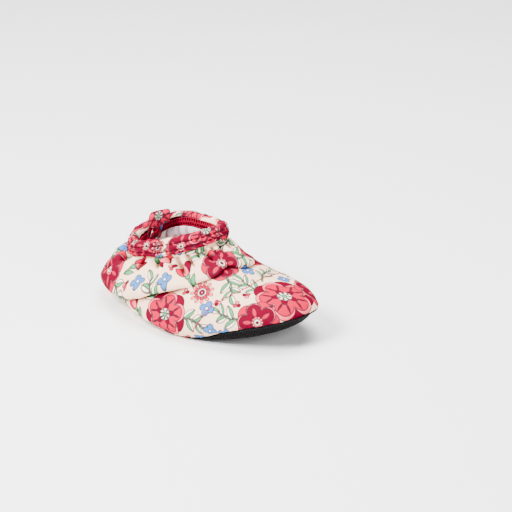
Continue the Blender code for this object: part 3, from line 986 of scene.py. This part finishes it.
# Painted shade in the hollows between the lining's folds
sock_painted_shade = painted_crease_shade(sock_fold, start=0.0, full=0.9, span_rows=9, span_turn=15)
unshaded = np.zeros((LINING_ROWS + 2 * len(FOOT_STEPS), LINING_AROUND))
sock_painted_shade = np.concatenate([sock_painted_shade, unshaded]).ravel()
sock_points = np.concatenate([sock_inner, foot_inner, foot_outer[::-1], sock_outer[::-1]])
make_piece("lining", sock_points, [grid_faces(len(sock_points), LINING_AROUND, wrap_rows=True)],
           lining_finish, "upper", fields={"painted_fold_shade": np.stack([sock_painted_shade] * 3, axis=-1)})

# %% [markdown]
# ## The collar binding
# The binding is a strip of the same fabric, folded over elastic and sewn through twice. Relaxed elastic draws
# it into small puckers between the stitches, and the two seams sink into the soft strip. A round bevelled
# curve would look like a tube, so a section with its own knots, open below for the cloth, is carried round.

# %% Binding's section
LAP_SHARE = 0.55
BINDING_AROUND = 600
# Knot rows: out from the upper's face, up, share of the binding's height that this starts from
COVER_KNOTS = (
    (1.3, 0.8, 0), (2.1, 1.8, 0), (2.5, 3.6, 0), (2.45, -4.4, 1), (2.0, -2.2, 1), (1.0, -0.7, 1),
    (-0.5, 0.0, 1), (-2.1, -0.2, 1), (-3.3, -1.2, 1), (-4.0, -3.2, 1), (-4.1, 3.2, 0), (-3.9, 1.7, 0),
    (-3.2, 0.9, 0))
SLOT_KNOTS = ((-2.3, 0.9, 0), (-2.3, 0.3, LAP_SHARE), (0.3, 0.3, LAP_SHARE), (0.3, 0.9, 0))
COVER_ROWS = 76
STITCH_ROWS_UP = (0.30, 0.66)


def collar_frame(turn):
    """Neck point, unit direction up the binding, its height and unit direction outward at each turn."""
    neck, top = named_ring("neck", turn), named_ring("collar", turn)
    ahead = named_ring("neck", turn + STEP) + named_ring("collar", turn + STEP)
    behind = named_ring("neck", turn - STEP) + named_ring("collar", turn - STEP)
    height = np.linalg.norm(top - neck, axis=-1, keepdims=True)
    up = (top - neck) / height
    return neck, up, height, unit(np.cross(ahead - behind, up))


def collar_point(frame_at, out, rise, share):
    """Places beside the collar: out from the upper's face, and up from a share of the binding's height."""
    neck, up, height, outward = frame_at
    return neck + up * (share[..., None] * height + rise[..., None]) + outward * out[..., None]


collar_turns = np.arange(BINDING_AROUND) / BINDING_AROUND
collar_at = collar_frame(collar_turns)
cover = np.concatenate([curve(COVER_KNOTS, COVER_ROWS), np.array(SLOT_KNOTS, float)])
mean_height = float(collar_at[2].mean())
flat_section = np.stack([cover[:, 0], cover[:, 1] + cover[:, 2] * mean_height], axis=-1)
section_run = lengths(flat_section, axis=0)
tangent = unit(np.gradient(flat_section, axis=0))
section_out, section_up = tangent[:, 1], -tangent[:, 0]
collar_line = 0.5 * (named_ring("neck", collar_turns) + named_ring("collar", collar_turns))
collar_run = lengths(np.concatenate([collar_line, collar_line[:1]]), axis=0)
collar_round, collar_run = collar_run[-1], collar_run[:-1]
print("binding", round(float(collar_round)), "mm round,", round(mean_height, 1), "mm high")

# %% Puckers and stitch grooves
# Pucker rows: waves round the collar, height, phase
PUCKER_WAVES = ((23, 0.17, 0.4), (37, 0.14, 2.1), (53, 0.07, 4.0))
PUCKER_DRIFT, PUCKER_DRIFTS = 0.12, 7
GROOVE_DEPTH, GROOVE_HALF, GROOVE_CALM = 0.5, 0.7, 0.5
OUTER_FACE, INNER_FACE = 0.5, -1.2
covered = np.arange(len(cover)) < COVER_ROWS
outer_side = flat_section[:, 0] > OUTER_FACE
share_up = flat_section[:, 1] / mean_height
bent_turns = 2.0 * math.pi * collar_turns
bent_turns = bent_turns + PUCKER_DRIFT * np.sin(PUCKER_DRIFTS * bent_turns)
wave = sum(height * np.sin(count * bent_turns + phase) for count, height, phase in PUCKER_WAVES)
round_share = np.clip(section_run / section_run[COVER_ROWS - 1], 0.0, 1.0)
swell = (covered * np.sin(math.pi * round_share) ** 0.5)[:, None] * wave
for up in STITCH_ROWS_UP:
    near = (np.exp(-((share_up - up) * mean_height / GROOVE_HALF) ** 2) * outer_side)[:, None]
    swell = swell * (1.0 - GROOVE_CALM * near) - GROOVE_DEPTH * near
band = collar_point(collar_at, cover[:, :1] + swell * section_out[:, None],
                    cover[:, 1:2] + swell * section_up[:, None], cover[:, 2:] + 0.0 * collar_turns)
print("puckers up to", round(float(swell.max()), 2), "mm")

# %% Print on the binding
STRIP_BLOOMS, STRIP_BLOOM_SIZE, STRIP_BLOOM_TURN = 9, 11.0, 0.9
STRIP_START, STRIP_WANDER, STRIP_WANDER_STEP = 0.2, 0.25, 2.4
# Strip blooms in turn: motif, across
STRIP_ORDER = (("dark_blossom", 4.0), ("blossom", 10.0), ("dark_blossom", 7.0))
# Motifs beside a bloom: motif, along, across, step across at odd blooms, size, first angle, turn a bloom
STRIP_UNDER = (("sprig", 5.0, 9.0, -3.0, 13.0, 0.3, 1.0), ("bluet", 10.5, 2.0, 6.5, 3.4, 0.0, 0.4))
STRIP_ASTER_ACROSS, STRIP_ASTER_STEP, STRIP_ASTER_SIZE, STRIP_ASTER_TURN = 6.0, 3.0, 5.2, 0.5
STRIP_REACH = 1.8
# Painted shade over the overlock's face, dark between its threads
OVERLOCK_TOP, OVERLOCK_PAINTED_SHADE = 7.6, 1.0


class StripPrint(Print):
    """A print on a flat strip: x runs along it and y across it, and x may close on itself."""

    def __init__(self, along, across, round_length=None):
        super().__init__(along.size)
        self.along, self.across, self.round_length = along.ravel(), across.ravel(), round_length

    def place(self, motif, along, across, size, angle):
        """Stamp a motif at a place on the strip, turned by an angle."""
        x, y = self.along - along, self.across - across
        if self.round_length:
            x = (x + 0.5 * self.round_length) % self.round_length - 0.5 * self.round_length
        where = np.flatnonzero(np.hypot(x, y) < STRIP_REACH * size)
        self.stamp(where, *shifted(x[where], y[where], 0.0, 0.0, angle), MOTIFS[motif], size)


strip_shape = (len(cover), BINDING_AROUND)
strip = StripPrint(np.broadcast_to(collar_run, strip_shape),
                   np.broadcast_to(section_run[:, None], strip_shape), collar_round)
pitch = collar_round / STRIP_BLOOMS
for k in range(STRIP_BLOOMS):
    at = (k + STRIP_START + STRIP_WANDER * math.sin(STRIP_WANDER_STEP * k)) * pitch
    odd = k % 2
    for motif, along, across, step_across, size, first, turning in STRIP_UNDER:
        strip.place(motif, at + along, across + step_across * odd, size, first + turning * k)
    motif, across = STRIP_ORDER[k % len(STRIP_ORDER)]
    strip.place(motif, at, across, STRIP_BLOOM_SIZE, STRIP_BLOOM_TURN * k)
    strip.place("aster", at + 0.5 * pitch, STRIP_ASTER_ACROSS + STRIP_ASTER_STEP * odd, STRIP_ASTER_SIZE,
                STRIP_ASTER_TURN * k)
print("strip motifs", STRIP_BLOOMS * (len(STRIP_UNDER) + 2))

# %% Make the binding
# Painted shade in the binding's puckers and stitch grooves
band_painted_shade = painted_crease_shade(swell, start=0.05, full=0.7, span_rows=11, span_turn=9)
inner_rows = np.flatnonzero(flat_section[:, 0] < INNER_FACE)
inner_points = (inner_rows[:, None] * BINDING_AROUND + np.arange(BINDING_AROUND)).ravel()
below_top = OVERLOCK_TOP - flat_section[inner_rows, 1]
strip.lay(inner_points, np.repeat(below_top, BINDING_AROUND), "crimson")
# Full painted shade on the inner face under the overlock
band_painted_shade[inner_rows] = (OVERLOCK_PAINTED_SHADE * (below_top > 0.0))[:, None]
make_piece("collar_band", band, [grid_faces(len(cover), BINDING_AROUND, wrap_rows=True)[:, ::-1]], fabric,
           "collar_binding", "collar_binding", strip.fields(band_painted_shade))

# %% [markdown]
# ## The heel loop
# A pull loop of the same strip is folded double and sewn inside the back of the binding. It stands up, leans
# and turns a little. A bent flat sheet would have hard edges and two loose ends. So a flat rounded section is
# carried along a closed path that runs down inside the binding, and the top is turned about its own middle.

# %% Path and section of the loop
LOOP_HALF_WIDTH, LOOP_HALF_THICK = 6.0, 0.8
LOOP_TURN, TURN_SPAN = -0.036, 0.01
BINDING_INNER_FACE = 4.0
# Knot rows: inward from the binding's inner face, up, from the top 1 or the neck 0
LOOP_KNOTS = ((1.3, -2.0, 0), (1.2, 2.5, 0), (1.2, -3.5, 1), (1.1, 0.0, 1), (0.6, 3.2, 1), (0.6, 6.0, 1),
              (1.5, 8.0, 1), (3.1, 8.8, 1), (4.7, 7.8, 1), (5.5, 5.4, 1), (5.7, 2.0, 1), (5.1, -2.0, 1),
              (3.7, 3.4, 0), (3.4, -2.0, 0), (2.4, -3.0, 0))
LOOP_ROWS, LOOP_SECTION = 180, 72


def flat_oval(half_width, half_thick, count):
    """Two straight sides joined by half circles, read at even steps of their length."""
    straight, bend = 2.0 * (half_width - half_thick), math.pi * half_thick
    run = 2.0 * (straight + bend) * np.arange(count) / count
    side = np.where(run < straight + bend, 1.0, -1.0)
    run = run % (straight + bend)
    angle = np.clip((run - straight) / half_thick, 0.0, math.pi)
    x = half_width - half_thick - np.minimum(run, straight) - half_thick * np.sin(angle)
    return side * x, side * half_thick * np.cos(angle)


path = curve(LOOP_KNOTS, LOOP_ROWS, closed=True)
path_flat = np.stack([path[:, 0], path[:, 1] + path[:, 2] * mean_height], axis=-1)
path_heading = unit(np.roll(path_flat, -1, axis=0) - np.roll(path_flat, 1, axis=0))
above_rim = path_flat[:, 1:] - mean_height
wide, thick = flat_oval(LOOP_HALF_WIDTH, LOOP_HALF_THICK, LOOP_SECTION)
print("loop", round(float(lengths(path_flat, axis=0)[-1]), 1), "mm of strip")

# %% Strip carried along the path, then turned
LOOP_EDGE_DROOP, DROOP_RISE, STRAIGHTEN_RISE = 1.3, 8.0, 4.0
LOOP_TWIST, LOOP_TWIST_RISE, LOOP_MIDDLE = math.radians(-27.0), 5.0, 3.1
LEG_TWIST, LEG_TWIST_START, LEG_TWIST_RISE = math.radians(-19.0), -1.0, 8.0
LEG_FROM, LEG_SPAN = 2.5, 2.0
step_ends = named_ring("collar", np.array([LOOP_TURN - TURN_SPAN, LOOP_TURN + TURN_SPAN]))
turn_per_mm = 2.0 * TURN_SPAN / np.linalg.norm(step_ends[1] - step_ends[0])
loop_at = collar_frame(LOOP_TURN + wide * turn_per_mm)
back_at = collar_frame(np.array([LOOP_TURN]))
outward = -BINDING_INNER_FACE - (path[:, :1] + path_heading[:, 1:] * thick)
droop = LOOP_EDGE_DROOP * smooth(above_rim / DROOP_RISE) * (wide / LOOP_HALF_WIDTH) ** 4
rise = path[:, 1:2] - path_heading[:, :1] * thick - droop
share = path[:, 2:] + 0.0 * wide
curved = collar_point(loop_at, outward, rise, share)
straight = collar_point(back_at, outward, rise, share) + unit(step_ends[1] - step_ends[0]) * wide[:, None]
strip_loop = curved + (straight - curved) * smooth(above_rim / STRAIGHTEN_RISE)[..., None]
on_inner_leg = smooth((path[:, :1] - LEG_FROM) / LEG_SPAN)
leg_twist = LEG_TWIST * smooth((path_flat[:, 1:] - LEG_TWIST_START) / LEG_TWIST_RISE)
top_twist = (LOOP_TWIST - on_inner_leg * LEG_TWIST) * smooth(above_rim / LOOP_TWIST_RISE)
twist = on_inner_leg * leg_twist + top_twist
pivot = collar_point(back_at, np.array([-BINDING_INNER_FACE - LOOP_MIDDLE]), np.zeros(1), np.ones(1))[0]
dx, dy = strip_loop[..., 0] - pivot[0], strip_loop[..., 1] - pivot[1]
loop_points = np.stack([pivot[0] + dx * np.cos(twist) - dy * np.sin(twist),
                        pivot[1] + dx * np.sin(twist) + dy * np.cos(twist), strip_loop[..., 2]], axis=-1)
print("loop turned by up to", round(math.degrees(float(np.abs(twist).max()))), "degrees")

# %% Print on the loop
# Motif rows: along, across, motif, size, angle
LOOP_BLOOMS = ((12.0, 0.0, "dark_blossom", 9.0, 0.3), (25.0, 1.0, "blossom", 9.5, 1.1),
               (40.0, -1.0, "dark_blossom", 9.0, 0.6), (32.5, -4.0, "bluet", 3.2, 0.0))
LOOP_SPRIG, LOOP_SPRIG_ALONG, LOOP_SPRIG_ANGLE, LOOP_SPRIG_TURN = 12.0, 4.0, 0.5, 1.2
OTHER_FACE, OTHER_FACE_TURN = 20.0, 0.4
loop_shape = loop_points.shape[:2]
loop_print = StripPrint(np.broadcast_to(lengths(path_flat, axis=0)[:, None], loop_shape),
                        np.broadcast_to(wide + OTHER_FACE * (thick > 0), loop_shape))
for along, across, motif, size, angle in LOOP_BLOOMS:
    for face in (0, 1):
        there = across + OTHER_FACE * face
        loop_print.place("sprig", along + LOOP_SPRIG_ALONG, there, LOOP_SPRIG,
                         LOOP_SPRIG_TURN * angle + LOOP_SPRIG_ANGLE)
        loop_print.place(motif, along, there, size, angle + OTHER_FACE_TURN * face)
make_piece("heel_strip", loop_points, [grid_faces(LOOP_ROWS, LOOP_SECTION, wrap_rows=True)], fabric,
           "heel_loop", "heel_loop", loop_print.fields(np.zeros(loop_shape)))

# %% [markdown]
# ## Sole and insole
# The outsole is one thin sheet of black rubber, turned up at its edge and higher round the toe, with a fine
# crossed hatch pressed into it. Its outline follows the cloth's seam, so both read the same seam line. The
# hatch could be cut into the mesh, but bump gives the same look with far fewer faces. The insole is a thin
# foam sheet covered with the lining's cloth.

# %% Rubber
# The paler rubber is a painted highlight on the rib tops, and dust in soft patches
RUBBER, RUBBER_DUST_AND_HIGHLIGHT = linear(1, 1, 1), linear(27, 25, 25)
HATCH_TILT, HATCH_TURN, HATCH_PER_METRE = (0.5, 0.3), 0.785, 230.0
WEAVE_SHARE, DUST_SHARE, DUST_PER_METRE = 0.8, 0.2, 60.0
RUBBER_ROUGH_HIGH, RUBBER_ROUGH_SPAN = 0.72, 0.22


def bands(start, coordinates, scale, **settings):
    """Soft-edged bands over coordinates, with their scale in bands a metre."""
    return start.node("ShaderNodeTexWave", settings, {"Vector": coordinates, "Scale": scale}, output=1)


def hatched_rubber(name):
    """Black rubber: crossed fine ribs as bump, their tops smoother and paler by a painted highlight, with
    dust.
    """
    material, shader, start = new_finish(name, Specular_IOR_Level=0.04)
    spun = [start.node("ShaderNodeMapping", None, {"Vector": start, "Rotation": (*HATCH_TILT, turn)})
            for turn in (HATCH_TURN, -HATCH_TURN)]
    weave = bands(start, spun[0], HATCH_PER_METRE) * bands(start, spun[1], HATCH_PER_METRE)
    # Painted highlight: rib tops paler, with paler patches of dust mixed in
    dust_and_highlight = weave * WEAVE_SHARE + start.noise(DUST_PER_METRE, 5.0) * DUST_SHARE
    feed(shader, "Base Color", dust_and_highlight.between(RUBBER, RUBBER_DUST_AND_HIGHLIGHT))
    feed(shader, "Roughness", RUBBER_ROUGH_HIGH - weave * RUBBER_ROUGH_SPAN)
    feed(shader, "Normal", weave.bump(0.6, 0.0003))
    return material


rubber = hatched_rubber("hatched_rubber")
insole_cloth = satin("insole_cloth", linear(236, 216, 216), linear(214, 192, 194))
print("finishes", rubber.name, insole_cloth.name)

# %% Sole
SOLE_AROUND, FLOOR_ROWS, EDGE_ROWS = 360, 26, 22
SOLE_THICKNESS, JOIN_GAP = 2.0, 0.3
RIM_BELOW_SEAM, SMALLEST_SHARE = 0.06, 0.04
sole_turns = np.arange(SOLE_AROUND) / SOLE_AROUND
rim_level = seam_level(sole_turns) - RIM_BELOW_SEAM
floor_shares = np.linspace(SMALLEST_SHARE, 1.0, FLOOR_ROWS)[:-1, None]
under_floor = tread_ring(np.broadcast_to(sole_turns, (FLOOR_ROWS - 1, SOLE_AROUND)), floor_shares)
edge_levels = -1.0 + (rim_level + 1.0) * np.linspace(0.0, 1.0, EDGE_ROWS)[:, None]
edge, _, _, edge_normal = skin_frame(np.broadcast_to(sole_turns, edge_levels.shape), edge_levels)
edge_in = edge - edge_normal * SOLE_THICKNESS
upper_floor = under_floor + np.array([0.0, 0.0, SOLE_THICKNESS])
sole_grid = np.concatenate([under_floor, edge, edge_in[:0:-2], upper_floor[::-1]])
make_piece("rubber_sole", *capped(sole_grid), rubber, "sole", "sole")

# %% Insole
INSOLE_THICKNESS, INSOLE_INNER, INSOLE_OUTER = 1.6, 0.05, 0.93
INSOLE_ROWS, INSOLE_AROUND = 18, 240
insole_turns = np.arange(INSOLE_AROUND) / INSOLE_AROUND
insole_shares = np.linspace(INSOLE_INNER, INSOLE_OUTER, INSOLE_ROWS)[:, None]
sheet = tread_ring(np.broadcast_to(insole_turns, (INSOLE_ROWS, INSOLE_AROUND)), insole_shares)
lower = above_tread(sheet, SOLE_THICKNESS + JOIN_GAP)
higher = above_tread(sheet, SOLE_THICKNESS + JOIN_GAP + INSOLE_THICKNESS)
make_piece("insole_sheet", *capped(np.concatenate([lower, higher[::-1]])), insole_cloth, "insole", "insole")

# %% [markdown]
# ## Threads
# The real seams are sewn with thread well under a millimetre thick, in three colours. A row of bump would
# stay flat where a seam meets the outline, so every stitch is a short bowed rod. All the stitches of one seam
# are one mesh, because they repeat by the hundred, and each has only a few dozen faces.

# %% Thread finish and stitch maker
PLIES_PER_METRE = 900.0
STITCH_SIDES, STITCH_RINGS, STITCH_END = 6, 5, 0.35


def thread(name, colour, shade):
    """Twisted sewing thread: fine slanting plies as bump, with painted shade darkening the grooves between
    them.
    """
    material, shader, start = new_finish(name, Roughness=0.6, Specular_IOR_Level=0.08)
    ply = bands(start, start, PLIES_PER_METRE, bands_direction="DIAGONAL")
    feed(shader, "Base Color", ply.between(shade, colour))
    feed(shader, "Normal", ply.bump(0.4, 0.0001))
    return material


def stitches(name, starts, ends, lifts, radius, finish, slot):
    """Rods from starts to ends that bow outward by lifts: round sections that shrink toward both ends."""
    share = np.linspace(0.0, 1.0, STITCH_RINGS)[None, :, None, None]
    around = 2.0 * math.pi * np.arange(STITCH_SIDES)[:, None] / STITCH_SIDES
    starts, ends, lifts = (part[:, None, None] for part in (starts, ends, lifts))
    out = unit(lifts)
    side = np.cross(unit(ends - starts), out)
    bow = np.sin(math.pi * share)
    centre = starts * (1 - share) + ends * share + lifts * bow
    fat = radius * (STITCH_END + (1.0 - STITCH_END) * bow ** 0.5)
    points = centre + (out * np.cos(around) - side * np.sin(around)) * fat
    ring_corners = np.arange(STITCH_SIDES)
    caps = np.stack([ring_corners[::-1], (STITCH_RINGS - 1) * STITCH_SIDES + ring_corners])
    offsets = (np.arange(len(starts)) * STITCH_RINGS * STITCH_SIDES)[:, None, None]
    faces = [(part + offsets).reshape(-1, part.shape[1])
             for part in (grid_faces(STITCH_RINGS, STITCH_SIDES), caps)]
    make_piece(name, points, faces, finish, slot)


red_thread = thread("red_thread", linear(72, 0, 20), linear(44, 0, 12))
crimson_thread = thread("crimson_thread", linear(172, 0, 50), linear(118, 0, 34))
pale_thread = thread("pale_thread", linear(206, 176, 176), linear(150, 118, 122))
print("threads", red_thread.name, crimson_thread.name, pale_thread.name)

# %% Two seams on the binding
STITCH_LENGTH, STITCH_GAP, THREAD_RADIUS = 2.3, 0.9, 0.38
SEAM_RAISE, SEAM_BOW = 0.2, 0.22


def turn_at(run):
    """Turn at a length run round the binding."""
    return np.interp(run, collar_run, collar_turns)


def on_band(row, turn):
    """Places on a row of the binding, at the nearest of its columns."""
    return band[row, np.round(turn * BINDING_AROUND).astype(int) % BINDING_AROUND]


stitch_count = int(collar_round / (STITCH_LENGTH + STITCH_GAP))
stitch_runs = np.arange(stitch_count) * collar_round / stitch_count
first_turn, last_turn = turn_at(stitch_runs), turn_at(stitch_runs + STITCH_LENGTH)
away = collar_frame(first_turn)[3]
for number, up in enumerate(STITCH_ROWS_UP, 1):
    row = int(np.where(outer_side, np.abs(share_up - up), np.inf).argmin())
    first, last = (on_band(row, turn) + SEAM_RAISE * away for turn in (first_turn, last_turn))
    stitches("binding_seam_%d" % number, first, last, SEAM_BOW * away, THREAD_RADIUS, red_thread,
             "collar_binding")

# %% Overlock inside the binding
OVERLOCK_PITCH, OVERLOCK_FROM, OVERLOCK_INSET = 2.2, 3.3, 0.35
OVERLOCK_BOW, OVERLOCK_RADIUS = 0.25, 0.26
CHAIN_RAISE, CHAIN_BOW, CHAIN_RADIUS = 0.2, 0.2, 0.28


def inside_band(turn, up):
    """Places on the binding's inner face at a height above the neck."""
    spread = np.ones_like(turn)
    inset = -BINDING_INNER_FACE - OVERLOCK_INSET
    return collar_point(collar_frame(turn), inset * spread, up * spread, 0.0 * spread)


overlock_count = int(collar_round / OVERLOCK_PITCH)
overlock_turns = turn_at(np.arange(overlock_count) * OVERLOCK_PITCH)
overlock_next = turn_at((np.arange(overlock_count) + 0.5) * OVERLOCK_PITCH)
in_face = -collar_frame(overlock_turns)[3]
low, high = inside_band(overlock_turns, OVERLOCK_FROM), inside_band(overlock_next, OVERLOCK_TOP)
for name, foot in (("overlock_rise", low), ("overlock_fall", np.roll(low, -1, axis=0))):
    stitches(name, foot, high, OVERLOCK_BOW * in_face, OVERLOCK_RADIUS, crimson_thread, "collar_binding")
for number, up in enumerate((OVERLOCK_FROM, 0.5 * (OVERLOCK_FROM + OVERLOCK_TOP), OVERLOCK_TOP), 1):
    chain = inside_band(overlock_turns, up) + CHAIN_RAISE * in_face
    stitches("overlock_chain_%d" % number, chain, np.roll(chain, -1, axis=0), CHAIN_BOW * in_face,
             CHAIN_RADIUS, crimson_thread, "collar_binding")

# %% Tack across the loop's end
TACK_LOW, TACK_HIGH, TACK_PITCH, TACK_START = 1.6, 3.6, 1.1, 0.25
TACK_RAISE, TACK_BOW, TACK_RADIUS = 0.1, 0.2, 0.28
INNER_LEG_FROM, FLAT_SHARE = 3.0, 0.99
tack_count = int(2.0 * (LOOP_HALF_WIDTH - LOOP_HALF_THICK) / TACK_PITCH)
leg_rows = np.flatnonzero(path[:, 0] > INNER_LEG_FROM)
leg_face = np.flatnonzero(thick < -FLAT_SHARE * LOOP_HALF_THICK)
leg_face = leg_face[np.argsort(wide[leg_face])]


def on_leg(up, share):
    """Places on the face of the loop's inner leg, at a height above the neck and shares of its width."""
    row = leg_rows[np.abs(path_flat[leg_rows, 1] - up).argmin()]
    return loop_points[row, leg_face[np.round(share * (len(leg_face) - 1)).astype(int)]]


tack_shares = (np.arange(tack_count) + TACK_START) / tack_count
tack_out = np.broadcast_to(-back_at[3], (tack_count, 3))
low = on_leg(TACK_LOW, tack_shares) + TACK_RAISE * tack_out
high = on_leg(TACK_HIGH, tack_shares + 0.5 / tack_count) + TACK_RAISE * tack_out
for name, foot, head in (("loop_tack_rise", low, high), ("loop_tack_fall", high[:-1], low[1:])):
    stitches(name, foot, head, TACK_BOW * tack_out[:len(foot)], TACK_RADIUS, pale_thread, "heel_loop")

# %% Seam across the forefoot
# Seam rows: turn, level
FOREFOOT_LINE = ((0.293, 0.75), (0.2986, 1.10), (0.311, 1.70), (0.335, 2.26), (0.3785, 2.58), (0.449, 2.83),
                 (0.515, 2.93), (0.581, 2.76), (0.633, 2.41), (0.668, 1.75), (0.684, 1.10), (0.690, 0.50))
FOREFOOT_STITCH, FOREFOOT_GAP = 2.0, 0.45
FOREFOOT_BOW, FOREFOOT_RADIUS = 0.18, 0.34
LINE_SAMPLES = 1200
line_turns, line_levels = curve(FOREFOOT_LINE, LINE_SAMPLES).T
line_run = lengths(skin(line_turns, line_levels), axis=0)
forefoot_count = int(line_run[-1] / (FOREFOOT_STITCH + FOREFOOT_GAP))


def on_cloth(run):
    """Place and outward direction on the creased fabric, at a length along the forefoot line."""
    turn, level = np.interp(run, line_run, line_turns), np.interp(run, line_run, line_levels)
    column = np.round(turn * AROUND).astype(int) % AROUND
    row = np.abs(outer_levels[:, column] - level).argmin(axis=0)
    place, _, _, normal = skin_frame(turn, level)
    return place + shift[row, column], normal


begin = np.arange(forefoot_count) * (FOREFOOT_STITCH + FOREFOOT_GAP)
start_at, start_normal = on_cloth(begin)
end_at, _ = on_cloth(begin + FOREFOOT_STITCH)
stitches("forefoot_seam", start_at, end_at, FOREFOOT_BOW * start_normal, FOREFOOT_RADIUS, crimson_thread,
         "upper")

# %% [markdown]
# ## Studio
# The photograph's light is soft and even. A sky alone would leave the folds flat, so a plain pale floor has
# one broad light overhead, one large soft light from the camera's left and a weak fill from its right.

# %% Floor
FLOOR_SIZE = 6.0
PAPER, PAPER_SHADE = (0.93, 0.93, 0.93, 1.0), (0.90, 0.90, 0.90, 1.0)
PAPER_TONES_PER_METRE = 3.0
material, shader, start = new_finish("pale_paper", Roughness=0.9, Specular_IOR_Level=0.1)
feed(shader, "Base Color", start.noise(PAPER_TONES_PER_METRE).between(PAPER, PAPER_SHADE))
half = FLOOR_SIZE / 2
floor_mesh = bpy.data.meshes.new("floor")
floor_corners = [(x * half, y * half, 0.0) for x, y in ((-1, -1), (1, -1), (1, 1), (-1, 1))]
floor_mesh.from_pydata(floor_corners, [], [(0, 1, 2, 3)])
floor_mesh.materials.append(material)
floor = bpy.data.objects.new("floor", floor_mesh)
bpy.context.scene.collection.objects.link(floor)
print("floor", FLOOR_SIZE, "m wide")

# %% Lights
# Light rows: place in metres, size, watts
LIGHTS = {"overhead": ((-0.1, 0.2, 1.2), 0.9, 40.0), "key": ((-0.20, -0.85, 0.95), 0.5, 56.0),
          "fill": ((1.1, -0.3, 0.6), 0.9, 14.0)}
LIT_POINT, LIGHT_ACROSS = (0.0, 0.0, 0.02), (0.0, 1.0, 0.001)
WORLD_COLOUR, WORLD_STRENGTH = (1.0, 1.0, 1.0, 1.0), 0.20
for name, (place, size, watts) in LIGHTS.items():
    lamp = bpy.data.lights.new(name, "AREA")
    lamp.size, lamp.energy = size, watts
    light = bpy.data.objects.new(name, lamp)
    light.matrix_world = standing(place, LIT_POINT, LIGHT_ACROSS)
    bpy.context.scene.collection.objects.link(light)
world = bpy.data.worlds.new("studio")
bpy.context.scene.world = world
world.use_nodes = True
sky = world.node_tree.nodes["Background"]
sky.inputs["Color"].default_value = WORLD_COLOUR
sky.inputs["Strength"].default_value = WORLD_STRENGTH
print("lights", ", ".join(LIGHTS))
